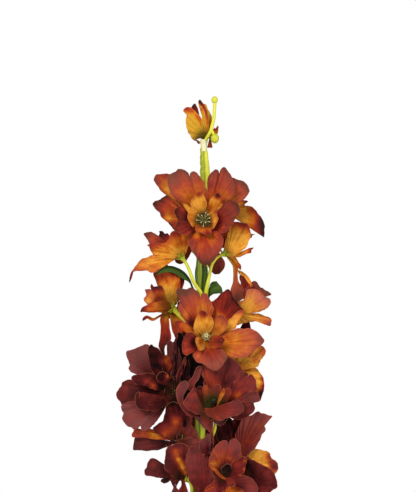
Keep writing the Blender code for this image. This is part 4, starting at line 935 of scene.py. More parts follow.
rightMiddleBloom["petals"] = [
    petal(22, 7, 6, cup=0.5, curl=-1, via=(8, 10, 5), face=(0.2, 0.95, 0.1), ripe=(0.0, 0.5, 1.3),
        blush=0.5, bend=4,
        cut=[(239, 312), (237.5, 306), (237.3, 302.5), (240, 301), (243.5, 299.5), (245.5, 296),
        (246.5, 291.5), (248.5, 289.6), (253, 288.7), (258, 290.2), (262, 293), (264.6, 296.6),
        (267, 296.8), (270, 299), (270.6, 302.5), (268.3, 306), (265, 309), (260, 311.6), (254, 313),
        (247, 313.6)],
        spots=[(270, 300, 4, 0.2), (243, 303, 6, -0.04), (254, 290, 5, 0.08)]),
    petal(22, -3, 12, via=(8, 0, 12), face=(0.1, 0.9, 0.3), ripe=(0.6, 0.86, 1.6), bend=2, blush=0.2,
        cut=[(244, 300), (243, 293), (246, 287.5), (250.5, 285), (252.2, 281.7), (255.5, 280.9),
        (258.3, 283.2), (260, 287), (265, 289.8), (269.5, 292), (271.6, 294.9), (268, 296), (264, 297),
        (256, 301), (250, 304)],
        spots=[(262, 294, 4, -0.1)]),
    petal(-1, 0, 27, bow=-3, face=(0, 1, 0), ripe=(0.05, 0.2, 2), bend=9, blush=0.1,
        edges=([(237.3, 270), (241, 271), (245, 273.6), (248.7, 277.3), (251.3, 282), (252.5, 286)],
        [(238.8, 274), (241.5, 275), (244.5, 277.8), (247, 281), (249.5, 284.5), (250.5, 287.5)])),
    petal(8, -4, 21, bow=2, face=(0, 1, 0), ripe=(0.66, 0.8, 1), bend=9,
        cut=[(247, 296), (243, 288), (240.5, 283), (239.4, 278.5), (240, 274.5), (243.5, 275.5),
        (247.5, 278.5), (251.5, 282.5), (253, 287), (253, 294)]),
    petal(21, 4, -9, cup=0.5, curl=-2, bow=3, face=(0, 0.8, 0.6), ripe=(0.0, 0.44, 3), blush=0.22, bend=4,
        cut=[(241, 310), (246, 313), (252, 313.7), (258, 314), (264, 315), (268.5, 316.8), (271.2, 320),
        (271, 323.3), (269.7, 325.7), (265, 324.2), (260.5, 322), (255, 321.6), (248, 322.2), (241, 324),
        (235.5, 325.3), (236, 318)],
        spots=[(268, 325, 4, 0.2), (262, 319, 5, 0.14), (247, 318, 5, -0.05)]),
    petal(10, -15, 11, 20, ripe=(0.2, 0.6, 1.5)),
    petal(8, -16, -5, 18, ripe=(0.2, 0.6, 1.5)),
    petal(2, -6, -21, bow=3, ripe=(0.8, 0.92, 1), blush=0,
        cut=[(246, 314), (245.4, 322), (243.2, 324.3), (240.3, 328.3), (240, 334), (250, 335),
        (250.7, 328.5), (249.3, 322.5), (249, 314)]),
]
frontMiddleBloom = {
    "name": "front_middle", "cloth": "petal_orange", "heart": (0.5, 17, 115), "facing": (0.05, 0.9, 0.42),
    "drop": 24, "stamens": 8.0,
}
frontMiddleBloom["petals"] = [
    petal(-9, 4, 37, cup=0.35, curl=-2, ripe=(0.14, 0.68, 0.8), blush=0.2,
        cut=[(200, 335), (194, 331), (190, 327.5), (186.8, 324), (184, 319.5), (181.3, 315.5), (179, 310.5),
        (178, 306.5), (179.3, 302.5), (178.5, 299), (177, 295), (176.3, 291.5), (178, 288.6), (181, 288),
        (184.5, 289.2), (187, 289), (189.5, 287.6), (192, 287.6), (195, 289.3), (198, 292), (199.8, 297.3),
        (201, 294), (203.5, 293.2), (206.5, 294.5), (209.5, 299), (212, 303), (213.7, 308), (212.5, 313),
        (211, 318), (210, 326), (206, 335)],
        spots=[(185, 292, 7, 0.14), (192, 324, 5, 0.28), (203, 308, 5, -0.16), (199, 303, 6, -0.04),
        (186, 316, 4, -0.3), (191, 322, 5, 0.3), (182, 293, 6, 0.16)]),
    petal(17.5, -2, 34, bow=3, cup=0.5, curl=-1, ripe=(0.34, 0.7, 0.6), blush=0.02,
        cut=[(210, 335), (211, 323), (213, 315.5), (213.8, 308), (212.8, 303), (215.5, 299), (219, 295.3),
        (223.5, 291.7), (228.5, 289), (231.3, 292), (233.5, 297), (236.5, 301.5), (240, 305.5),
        (243.5, 309.5), (240, 314), (233, 318.5), (228, 325), (222, 332), (214, 337)],
        spots=[(227, 292.5, 3, -0.4), (230, 296, 2, -0.2), (228, 308, 5, 0.2), (218, 302, 4, -0.04),
        (239, 303, 4, 0.3), (219, 316, 4, -0.3), (222, 322, 6, -0.2), (227, 293.5, 3, 0.3)]),
    petal(28, 3, 18, cup=0.8, ripe=(0.02, 0.16, 2), blush=0.14,
        cut=[(214, 338), (219, 331.5), (226, 325), (231, 318), (236, 313), (241, 309.6), (243.8, 310.3),
        (243, 314), (240, 319), (237, 323.7), (235, 328.5), (228, 332.5), (220, 338)],
        spots=[(241, 311, 4, 0.3), (230, 329, 3, -0.04)]),
    petal(43, 5, -1, bow=5, cup=0.4, curl=-2, ripe=(0.3, 0.46, 1.2), blush=0.26,
        cut=[(212, 341), (219, 336.5), (226, 333), (232, 330), (238, 328.3), (244, 328.2), (250, 328.8),
        (255, 330.8), (259.5, 334), (262.5, 337.5), (263.9, 340.7), (262.7, 343.2), (260.8, 345.5),
        (258, 347.3), (255, 349), (252, 353), (249, 355.8), (244, 357.2), (238, 357.9), (232, 357.2),
        (226, 354), (219, 349.5), (212, 346)],
        spots=[(233, 338, 8, -0.04), (252, 350, 5, -0.06), (262, 341, 3, 0.2), (252, 331, 4, 0.14),
        (257, 338, 6, 0.12)]),
    petal(-22.5, 6, 13, bow=3, cup=0.7, ripe=(0.06, 0.52, 1.3),
        cut=[(204, 338), (199, 333), (195, 330), (190.5, 327), (186, 323), (181, 320.7), (177, 320.8),
        (175, 322.5), (175.8, 325.5), (178.5, 327.7), (183, 330.5), (188, 334), (193, 338.5), (199, 342)],
        spots=[(178, 324, 4, 0.1), (190, 333, 4, 0.16)]),
    petal(-14, 12, -13, bow=3, cup=0.8, curl=-2, ripe=(0.5, 0.56, 1),
        cut=[(204, 343), (198, 337), (192, 333), (187.5, 332.5), (184.3, 336.5), (182.5, 342.5),
        (182, 348.5), (183.5, 353), (186.5, 355.2), (189.5, 353.3), (193, 352), (197, 351), (202, 349)],
        spots=[(194, 343, 5, 0.36), (186, 347, 4, -0.04)]),
    petal(3.5, 12, -24, cup=0.4, via=(2, 15, -4), ripe=(0.46, 0.62, 0.9), blush=0.26,
        cut=[(204, 345), (198, 349.5), (193, 353), (193.5, 358), (197, 361.5), (202, 363.5), (206, 366.5),
        (210, 369.3), (215, 370.8), (219.5, 369), (223, 365), (225.3, 361), (226.5, 356), (224.5, 351),
        (217, 346.5), (209, 344)],
        spots=[(210, 353, 7, -0.02), (197, 355, 4, -0.24), (224, 360, 4, 0.1)]),
    petal(-1.5, 9, 21, bow=1, cup=0.9, curl=3, ripe=(0.03, 0.07, 1),
        cut=[(203, 339), (197, 334.5), (194.3, 329), (194.5, 322), (196.5, 316), (199.5, 312.5),
        (202.5, 311), (206, 312.5), (209, 315), (211.7, 317.5), (213.3, 322), (212.9, 327), (210.5, 332),
        (206.5, 338.5)],
        spots=[(203, 314, 3.6, 0.44), (209, 327, 4, 0.16), (198, 334, 4, 0.06), (204, 315, 4, 0.24),
        (203, 326, 7, 0.06)]),
    petal(13.5, 7, 18.5, bow=1, cup=0.9, curl=2, ripe=(0.2, 0.4, 2), blush=0.2,
        cut=[(208, 340), (210.5, 334), (213.3, 328), (214.5, 321), (217, 316.7), (220.5, 314.6), (224, 316),
        (226.5, 319.5), (228, 323.5), (226, 328.5), (222, 333.5), (215, 338.5)],
        spots=[(223, 319, 5, 0.22), (218, 328, 3.5, 0.16)]),
    petal(12, 13, -2, bow=1, cup=0.8, curl=-1, ripe=(0.34, 0.56, 1),
        cut=[(206, 341), (209, 339.5), (213, 336.5), (217, 335.2), (221, 336.3), (224.4, 339), (223.6, 343),
        (220.5, 346.7), (214, 348.7), (208, 349.2), (203.3, 347.7), (202, 344)],
        spots=[(219, 341, 4.5, 0.28), (207.5, 345, 3.5, -0.1)]),
    petal(-7, 12, -7, bow=1, cup=0.8, ripe=(0.04, 0.1, 1),
        cut=[(205, 339), (200.5, 337), (197, 337), (195.6, 341), (196.8, 345.5), (198, 349.5),
        (200.5, 350.6), (203.5, 350), (206, 346)],
        spots=[(201, 342, 2.5, 0.2)]),
]
rearMiddleBloom = {
    "name": "rear_middle", "cloth": "petal_orange", "heart": (-2, -17, 120), "facing": (0.25, -1, 0.2),
    "drop": 24, "stamens": 8.0, "ringed": ring((0.25, -1, 0.2), 27, -10, (0.25, 0.66, 1.5), bends={6: 3}),
}
rearMiddleBloom["petals"] = [
    petal(-20, 7, -27, 22, cup=0.5, via=(-13, 6, -8), face=(0, 1, 0), ripe=(0.55, 0.8, 1)),
]
rightGoldBloom = {
    "name": "right_gold", "cloth": "petal_gold", "heart": (23, 4, 89), "facing": (0.88, 0.1, 0.25),
    "drop": 24,
}
rightGoldBloom["petals"] = [
    petal(21.5, 3, 16, cup=0.5, curl=-1, via=(9, 7, 10), face=(0, 1, 0.1), ripe=(-0.04, 0.06, 2),
        blush=0.14, bend=10,
        cut=[(236, 370), (238, 362), (244, 356), (250, 351), (255.5, 347.7), (260.5, 345.2), (264, 347.2),
        (265.8, 351), (264, 356), (260, 359.9), (254, 362), (246, 365), (240, 370)],
        spots=[(262, 351, 5, 0.3), (259, 347, 3, 0.1)]),
    petal(15.5, 3, -19, cup=0.5, via=(23, 7, 7), face=(0.3, 0.95, 0), ripe=(0.02, 0.05, 1), bend=3,
        cut=[(237, 372), (240, 367), (246, 365), (253, 365.8), (257, 368.5), (260.5, 372.7), (263, 377.7),
        (264.5, 383.5), (264, 390), (262, 395.5), (259.5, 401), (256.5, 398), (251, 393), (245, 386),
        (239, 379)],
        spots=[(264.5, 378, 3.5, 0.5), (265, 386, 4, 0.62), (262, 393.5, 4, 0.66), (259, 399.5, 4, 0.7),
        (248, 368, 5, 0.1), (261, 395, 4, 0.4), (247, 368, 4, 0.1)]),
    petal(18.5, 7, 4, bow=3, face=(0, 0.9, 0.4), ripe=(-0.04, 0.0, 2), bend=11,
        cut=[(236, 372), (230, 366), (225.5, 357.5), (228, 352.5), (236, 354), (242, 357), (248, 357.3),
        (254, 358.3), (259.5, 359.3), (260.8, 361.7), (259.6, 364), (257, 367), (251, 366), (245, 365.5),
        (240, 366), (238, 371)],
        spots=[(253, 362, 3.5, 0.26), (232, 360, 5, 0.14)]),
    petal(12, -17, 8, 20, ripe=(0.2, 0.6, 1.5)),
    petal(9, -16, -13, 20, ripe=(0.2, 0.6, 1.5)),
    petal(14, -4, 2, 10, cup=0.9, bow=1, ripe=(0.2, 0.6, 1.5)),
    petal(12, -12, 36, bow=1, extra=True, ripe=(0.86, 0.95, 1),
        cut=[(240, 345), (239, 334), (241, 328), (244, 323.5), (247.5, 322), (250, 325), (250, 331),
        (248, 342)]),
]
leftDarkBloom = {
    "name": "left_dark", "cloth": "petal_burgundy", "heart": (-26, 8, 77), "facing": (-0.45, 0.88, 0.08),
    "drop": 25,
}
leftDarkBloom["petals"] = [
    petal(-28, 4, 28, bow=3, cup=0.3, curl=-2, ripe=(0.86, 0.78, 1), blush=0.34, bend=-8,
        cut=[(163, 385), (157, 379.5), (149, 375.8), (143, 373.8), (138, 374.3), (134, 372.7),
        (130.5, 371.2), (128.2, 368), (129.5, 364.5), (128, 360), (126.8, 355), (127, 351.3), (131, 350),
        (136, 348.5), (141, 346.3), (145.5, 344.2), (149, 345.3), (148.8, 352), (149.5, 360), (151.5, 368),
        (155, 375), (161, 384)],
        spots=[(137, 354, 5, 0.1), (146, 362, 5, -0.04)]),
    petal(-11.5, -1, 32, bow=3, cup=0.7, ripe=(1.02, 0.96, 1), blush=0, bend=11,
        cut=[(169, 387), (162, 380), (154, 373), (150.5, 367.5), (148.8, 360), (147.9, 352), (149.3, 346),
        (152, 344.2), (155, 346.5), (158.5, 348.8), (161.5, 352.5), (163.5, 358.5), (163.6, 365),
        (162.3, 369), (168, 376)],
        spots=[(162.5, 362, 3, -0.26), (157, 371.5, 3, -0.3), (161, 352, 2, -0.1)]),
    petal(-28, 9, 9.5, bow=3, cup=0.7, ripe=(0.95, 0.76, 1), blush=0.02,
        cut=[(167, 387), (160, 381.5), (155, 375), (149, 372.9), (142, 373.2), (136, 374.3), (132, 376.3),
        (131, 378), (133, 381.5), (137, 384.2), (143, 385.2), (149, 387.3), (155, 390.3), (158.3, 390),
        (165, 390)],
        spots=[(147, 381, 4, -0.36), (153.5, 386, 4, -0.6), (163, 387, 5, 0.3)]),
    petal(-40, 1, -3, bow=3, cup=0.4, curl=-2, ripe=(0.8, 0.72, 1), blush=0.08,
        cut=[(168, 392), (158, 389), (148, 386.5), (138, 384.2), (134, 381.8), (131.5, 380.2),
        (128.5, 379.2), (125.5, 380.6), (121.5, 383), (120.8, 387), (118, 390.5), (116.2, 394),
        (117.3, 398), (120, 401.5), (122, 405.5), (128, 405.5), (136, 403), (146, 400), (158, 397),
        (168, 396)],
        spots=[(127, 384, 6, -0.06), (150, 393, 9, 0.14), (130, 394, 6, 0.04), (140, 392, 2.5, -0.08)]),
    petal(-27, 6, -28, bow=5, cup=0.3, curl=-2, ripe=(0.88, 0.7, 1), blush=0.34,
        cut=[(171, 397), (160, 400), (148, 402), (136, 402.5), (127, 402.5), (121.3, 405.3), (121.3, 409),
        (123.3, 413), (122, 418), (124, 422), (127.5, 426), (131, 427.5), (134, 429.5), (137, 428.6),
        (138.2, 424.5), (139.4, 420.5), (140.4, 424.5), (141.3, 428.8), (144, 430.2), (149, 428.5),
        (153, 425.5), (157, 421), (160, 416), (162.7, 411), (165, 405.7), (169, 401)],
        spots=[(135, 415, 8, -0.05), (130, 404, 4, -0.14)]),
    petal(-25, 14, -10, bow=3, cup=0.7, curl=-2, ripe=(0.84, 0.76, 1), blush=0.02,
        cut=[(173, 396), (168, 395.5), (159, 398.7), (150, 401.3), (143, 401.2), (139.2, 397.7),
        (138.7, 392.5), (136, 394.5), (134.6, 399), (135.3, 404.5), (139, 408.7), (145, 411), (152, 411.3),
        (158, 410), (164, 406), (171, 400)],
        spots=[(140, 395, 3, -0.1)]),
    petal(4, 1, 27, bow=-2, cup=0.8, curl=2, face=(0, 1, 0), ripe=(0.9, 0.76, 1), blush=0.16,
        cut=[(169, 390), (165, 379), (163.3, 369), (163.3, 361.5), (165, 357), (167.3, 353), (166.8, 347),
        (168, 340.5), (172, 341), (174, 347), (173.6, 354), (173.3, 361), (172, 368), (173, 376),
        (173.5, 384), (172, 390)],
        spots=[(165.5, 362, 3.5, -0.44), (170, 365, 3, -0.2)]),
    petal(-14, -12, 4, 20, bow=3, face=(-0.9, -0.1, 0.2), ripe=(0.5, 0.75, 1)),
    petal(-13, 9, 4, bow=1, cup=0.9, ripe=(0.9, 0.86, 1), blush=0,
        cut=[(172, 390), (165, 385), (158.5, 382.5), (156.5, 378), (158, 373.7), (162, 371.3), (166.5, 373),
        (169, 376), (168.5, 380.5), (171, 386)],
        spots=[(161, 378, 4, 0.12), (167.5, 376, 2.4, -0.62), (165, 381, 3, -0.1), (158, 372, 2.5, -0.3)]),
    # the dark added sheets that follow fill the deep gap between this bloom and front_low: partly dark
    # petals, partly painted shade of the gap
    petal(8, 1, 22, bow=1, extra=True, ripe=(1.0, 0.92, 1), blush=0.1,
        cut=[(172, 392), (171, 380), (171.5, 368), (172, 357), (173, 349), (172.3, 343.3), (175, 341.3),
        (177.7, 345), (180, 352), (181.5, 358), (181, 368), (180, 380), (178, 392)]),
    petal(15, 0, 30, bow=1, extra=True, ripe=(1.12, 1.06, 1), blush=0.0,
        cut=[(176, 394), (174, 380), (174, 366), (175.5, 352), (176.5, 340), (178.5, 333), (183, 335),
        (186, 345), (188, 356), (190, 366), (190, 376), (187, 386), (182, 394)]),
    petal(22, -1, 24, bow=1, extra=True, ripe=(1.15, 1.1, 1), blush=0.0,
        cut=[(180, 396), (180, 384), (182, 370), (185, 358), (190, 352), (197, 352), (203, 360), (207, 370),
        (208, 382), (207, 394), (200, 400), (190, 400)]),
    petal(9, 2, 14, bow=1, extra=True, ripe=(0.86, 0.8, 1), blush=0.1,
        cut=[(176, 384), (176.5, 376), (178.5, 370), (182, 363), (184.3, 357), (186, 360), (185.5, 366),
        (183, 372), (181, 379), (180, 386)]),
    petal(6, -3, -2, bow=0, extra=True, ripe=(0.95, 1.0, 1), blush=0,
        cut=[(164, 400), (165, 388), (169, 379), (175, 376), (184, 378), (194, 384), (197, 394), (194, 404),
        (186, 410), (178, 408.5), (173, 407), (167, 406)]),
    petal(-3, 6, 17, bow=0, extra=True, ripe=(0.55, 0.5, 1), blush=0,
        cut=[(166, 373), (163.2, 369), (162.4, 364), (161.8, 359.5), (163, 356), (165.8, 355.3),
        (168.6, 357), (170.5, 361), (171.3, 366), (170, 370), (168, 372.5)],
        spots=[(165, 362, 3, -0.3), (169, 362, 2, 0.1)]),
]
frontLowBloom = {
    "name": "front_low", "cloth": "petal_burgundy", "heart": (6.5, 18, 67), "facing": (0, 0.8, 0.6),
    "drop": 24, "stamens": 7.0, "stalkRadii": (1.4, 1.3),
    "stalk": [(-2.5, 1, 25), (0, 2.5, 30), (3, 4.5, 36.5), (4.4, 6.5, 41), (6.6, 9, 46), (7.6, 11, 51),
        (7.8, 13, 57), (7, 14.7, 62), (6.5, 15.7, 64.8)],
}
frontLowBloom["petals"] = [
    petal(7.5, 2, 33, bow=3, cup=0.4, curl=1, ripe=(0.54, 0.76, 0.9), blush=0.12,
        cut=[(209, 404), (206, 396), (204, 389), (203, 384.5), (204, 378), (202, 374), (202.5, 367),
        (203, 362), (207, 359), (213, 358), (219, 357.5), (226, 357.3), (231, 358), (235, 360.5),
        (239, 364.5), (242, 369), (243.5, 373), (240, 376.5), (236.5, 381), (234, 387), (230, 395),
        (222, 403)],
        spots=[(206, 373, 5, -0.26), (213, 386, 5, -0.2), (224, 383, 5, 0.24), (214, 388, 2, 0.2),
        (231, 379, 6, 0.14), (224, 362, 4, 0.1)]),
    petal(28.5, 3, 21, bow=3, curl=-1, ripe=(0.54, 0.72, 0.8), blush=0.08,
        cut=[(218, 405), (226, 398), (231.5, 389), (234.5, 381), (237.5, 375.5), (242, 373), (246.5, 372.5),
        (248, 374.8), (247.2, 377.8), (249.5, 375), (252, 374.2), (255, 377), (256.5, 381), (256.2, 386),
        (257.3, 390), (254, 392), (247, 395.5), (239, 399), (230, 403)],
        spots=[(238, 394, 5, -0.2), (243, 380, 4, 0.04), (247, 378, 2, -0.2), (233, 388, 5, 0.16)]),
    petal(32, 4, 5, bow=3, cup=0.5, curl=-2, ripe=(0.66, 0.74, 1), blush=0.2,
        cut=[(219, 406), (230, 402), (238, 398), (246, 394), (253, 390), (256.5, 390.7), (258.5, 395),
        (259.4, 401), (255, 402), (248, 403.5), (240, 405), (228, 408)],
        spots=[(250, 400, 5, 0.12)]),
    petal(29.5, 5, -7, bow=3, cup=0.5, curl=-2, ripe=(0.8, 0.76, 1), blush=0.06,
        cut=[(218, 409), (230, 404.5), (240, 402.5), (248, 402), (253.5, 402.3), (254.9, 408.5),
        (253, 412.5), (248.5, 416.2), (243, 418.8), (237, 420.3), (231.5, 417.6), (226, 414)],
        spots=[(247, 408, 4, 0.12)]),
    petal(7, 15, -14, cup=0.5, curl=-3, via=(5, 13, -5), ripe=(0.54, 0.68, 1), blush=0.12, shade=0.25,
        cut=[(205, 408), (202, 410.5), (206, 414.3), (209, 417), (214, 419.6), (220, 420.4), (226, 418.5),
        (232, 416.7), (238, 415.2), (242, 412.2), (244.2, 409), (243, 405), (240, 401.2), (236, 400.3),
        (230, 402.8), (224, 406), (216, 408.5)],
        spots=[(207, 407, 5, -0.1), (215, 414, 6, -0.12), (242, 407, 4, 0.12), (228, 410, 6, -0.04)]),
    petal(-27, 5, 5, cup=0.7, curl=1, ripe=(0.8, 0.72, 1), blush=0.24,
        edges=([(204, 417.5), (196, 416.8), (190, 416.4), (185.5, 413.2), (181.5, 408.3), (178.3, 402.7),
        (176.6, 397), (176, 391), (178, 385.5), (181.5, 382), (185.3, 380.8)],
        [(205, 412.5), (197, 412), (190, 409.5), (185.5, 405.8), (183.2, 401), (183.7, 396), (185.7, 391.5),
        (188, 388), (188.7, 385), (188, 382.5), (186.5, 381.2)]),
        spots=[(180, 397, 5, 0.06), (184, 384, 4, 0.1)]),
    petal(-18, 10, -2, bow=3, cup=0.8, ripe=(0.82, 0.64, 1), blush=0.1,
        cut=[(206, 415.5), (199, 414.3), (193, 412.7), (188, 409.7), (184, 405.7), (183.2, 402),
        (185.5, 398.3), (189, 393.7), (191.5, 389.8), (193.7, 388.1), (195.2, 391), (196.5, 395.5),
        (195.7, 400), (196.2, 405), (199.3, 409.5), (205, 412)],
        spots=[(193, 395, 3.5, -0.14)]),
    petal(-12, 4, 26, bow=2, cup=0.7, curl=2, ripe=(0.7, 0.76, 1), blush=0.18,
        edges=([(198, 402), (193, 394), (188.5, 389), (187.5, 384), (190, 379.7), (193.3, 376), (195, 371),
        (197, 367.3), (200.3, 365.7)],
        [(203, 400), (199.5, 392), (195, 387.5), (195, 383.8), (198, 380.3), (200, 375), (201.3, 370),
        (201.9, 367.5), (201.6, 366)]),
        spots=[(197, 377, 4, 0.02)]),
    petal(-6, 7, 15, bow=1, cup=0.9, ripe=(0.5, 0.62, 1), shade=1.1,
        cut=[(208, 409), (204.5, 402), (203.5, 394), (203, 386.5), (206.5, 385), (210.5, 389.5),
        (214.5, 386.5), (219, 384.7), (221.3, 389.5), (219, 396), (217, 402.5), (214, 409)],
        spots=[(206, 387, 3, -0.3), (216, 388, 4, 0.1)]),
    petal(9, 7, 14, bow=1, cup=0.9, ripe=(0.66, 0.66, 1),
        cut=[(214, 409), (219, 401), (223, 393), (226, 388.3), (230, 388.8), (231.3, 393), (228, 399.5),
        (220, 407)],
        spots=[(230, 391, 3, -0.1)]),
    petal(6, 13, 5, bow=1, cup=0.8, curl=2, ripe=(0.16, 0.24, 1), bend=3, shade=0.35,
        cut=[(215.5, 408), (217, 404), (218.5, 398), (220.3, 393), (223.6, 388.8), (224, 392.7),
        (223, 396.2), (220.8, 397), (219.6, 400.5), (218.2, 405.5)],
        spots=[(223, 391, 1.5, 0.3)]),
    petal(-10, 2, 10, bow=1, extra=True, ripe=(0.7, 0.8, 1), blush=0.0,
        cut=[(205, 411), (199.5, 407.5), (196.3, 401), (196.5, 394), (197, 388.5), (200, 386), (203.7, 388),
        (206, 393), (206, 400), (208, 408)],
        spots=[(206, 408, 6, -0.2)]),
    petal(2, -4, -36, bow=1, extra=True, ripe=(0.68, 0.72, 1), blush=0.26,
        edges=([(199, 411), (200.5, 416), (202.5, 421.5), (205.5, 426), (208.2, 430), (210, 433.4),
        (207.6, 437.5), (206, 441), (208, 452)],
        [(213, 412), (213.8, 418), (213.2, 424), (212.8, 430), (213.4, 435), (214, 441), (213.4, 446),
        (213, 449), (211, 454)])),
    petal(-8, -6, -15, bow=0, extra=True, ripe=(0.7, 0.64, 1), blush=0.3,
        cut=[(206, 410), (197, 410.5), (192.5, 412), (194.5, 416.5), (197.5, 420.5), (200.8, 424),
        (204, 427.3), (206.6, 429.3), (207, 424), (207.5, 416)]),
]
rearLowBloom = {
    "name": "rear_low", "cloth": "petal_burgundy", "heart": (-1, -17, 74), "facing": (-0.3, -1, 0.15),
    "drop": 24, "stamens": 8.0, "ringed": ring((-0.3, -1, 0.15), 27, 25, (0.5, 0.8, 1)),
}
rearLowBloom["petals"] = [
    petal(-18, 7, 33, 22, cup=0.5, via=(-10, 6, 13), face=(0, 1, 0), ripe=(0.6, 0.8, 1), bend=6),
]
leftLowBloom = {
    "name": "left_low", "cloth": "petal_burgundy", "heart": (-20, 4, 42), "facing": (-0.8, 0.5, 0.2),
    "drop": 25,
}
leftLowBloom["petals"] = [
    petal(-9.5, 6, 22, bow=-2, cup=0.8, curl=1, face=(0.2, 0.95, 0), ripe=(0.86, 0.9, 1), blush=0,
        cut=[(176, 441), (170, 438), (164, 437), (157.5, 434.5), (154, 430.7), (153.5, 428.3), (157, 425),
        (161, 422.7), (163.8, 420.7), (164.5, 415), (165.5, 410), (167, 405.3), (172, 402), (180, 404),
        (185.5, 412), (187, 420), (185, 429), (182, 436), (179, 441)],
        spots=[(176, 421.5, 5, -0.58), (172.5, 430, 5, -0.44), (165, 434.5, 6, -0.42), (160, 426, 5, -0.1),
        (185, 426, 5, 0.2), (181, 438, 5, 0.3)]),
    petal(-36, 6, 3, bow=3, cup=0.7, face=(0, 0.8, 0.6), ripe=(0.5, 0.5, 1), blush=0.1,
        cut=[(175, 439), (168, 440.5), (160, 439.3), (152, 439.3), (146, 437.7), (140, 435.7), (136, 437.7),
        (131.9, 435.8), (133, 432), (133.5, 429.8), (137, 428.2), (142, 429.8), (148, 428), (152, 429.5),
        (158, 431.7), (165, 434), (173, 434.5)],
        spots=[(157, 435.5, 6, -0.26), (152.5, 436, 3, -0.14)]),
    petal(-35, 2, -6, bow=2, cup=0.3, curl=-1, face=(0, 1, 0), ripe=(0.86, 0.78, 1), blush=0.12,
        cut=[(177, 441), (168, 441.3), (160, 439.8), (151, 440), (144, 437.3), (138.5, 435.4), (135.5, 437),
        (134, 443), (132.8, 449.5), (138, 450.5), (146, 450.4), (155, 450.2), (161, 449), (165.3, 446.5),
        (170, 444.2), (177, 444)],
        spots=[(141, 444, 5, -0.06), (165, 442, 5, 0.12)]),
    petal(-9, -15, 12, 20, ripe=(0.5, 0.75, 1)),
    petal(-6, -17, -8, 15, ripe=(0.5, 0.75, 1)),
    petal(-9, -3, 5, 11, bow=1, cup=0.9, ripe=(0.5, 0.75, 1)),
    petal(12, 2, 8, bow=1, extra=True, ripe=(0.78, 0.7, 1), blush=0.12,
        cut=[(176, 441), (177, 434), (181, 428), (183.5, 420), (186, 412), (190, 412.5), (192.5, 416),
        (192, 420), (192.3, 425), (194.5, 429), (197, 433.5), (199.2, 438), (200, 441.5), (194, 443.5),
        (186, 444)],
        spots=[(181, 436, 4, 0.26)]),
    petal(4, 4, -6, bow=1, extra=True, ripe=(0.74, 0.68, 1), blush=0.2,
        cut=[(178, 440), (185, 438), (192, 437), (198, 441.5), (194, 444.5), (189.5, 449), (187, 454),
        (182, 448), (176, 445)]),
]
rightLowBloom = {
    "name": "right_low", "cloth": "petal_burgundy", "heart": (24.5, 2, 31), "facing": (0.8, 0.35, 0.45),
    "drop": 26,
}
rightLowBloom["petals"] = [
    petal(25.5, 9, 26.5, bow=3, cup=0.25, curl=-1, face=(-0.1, 1, 0.1), ripe=(0.6, 0.5, 1), blush=0.3,
        cut=[(240, 459), (243.5, 456.7), (247, 455.2), (250, 453.5), (252.5, 450.5), (256, 446.5),
        (259, 441.5), (261, 437), (262.3, 433.5), (265, 431.5), (266.2, 428.5), (265, 425), (266.5, 422),
        (269, 418.5), (272.2, 416.3), (268, 415.3), (263.5, 413.8), (260.5, 413.2), (258.8, 411.7),
        (257, 411.9), (254.5, 413.4), (252, 415), (247.5, 416.3), (243, 419.5), (240, 423), (237.3, 428.5),
        (235, 435), (234.5, 441), (235.5, 448), (236.5, 455)],
        spots=[(238, 445, 6, 0.14), (258, 414, 5, 0.1), (253, 440, 8, -0.05)]),
    petal(-9, 2, 22, bow=-1, cup=0.7, face=(0, 1, 0), ripe=(0.92, 1.0, 1), blush=0.0,
        cut=[(237, 452), (231, 444.5), (225, 442), (219.5, 442), (216.2, 436), (216.7, 430), (217, 424),
        (219, 418), (226, 416), (231, 418.5), (234, 423), (232.5, 430), (233.5, 438), (239, 449)]),
    petal(12, -16, 12, 16, ripe=(0.5, 0.75, 1)),
    petal(15, -15, -8, 20, ripe=(0.5, 0.75, 1)),
    petal(8, -6, 8, 11, bow=1, cup=0.9, ripe=(0.5, 0.75, 1)),
    petal(4, 2, 22, bow=1, extra=True, ripe=(0.84, 0.9, 1), blush=0,
        cut=[(238, 450), (232, 440), (229.3, 432), (229.5, 425), (232, 420.5), (237, 417.5), (244, 416.5),
        (246, 417.5), (240, 423), (237.5, 429), (238, 438), (241, 447)],
        spots=[(233.5, 424, 3, -0.3), (242, 419.5, 3, -0.1)]),
]
frontBaseBloom = {
    "name": "front_base", "cloth": "petal_burgundy", "heart": (12.5, 17, 17), "facing": (0.15, 0.88, 0.3),
    "drop": 24, "stamens": 7.0,
}
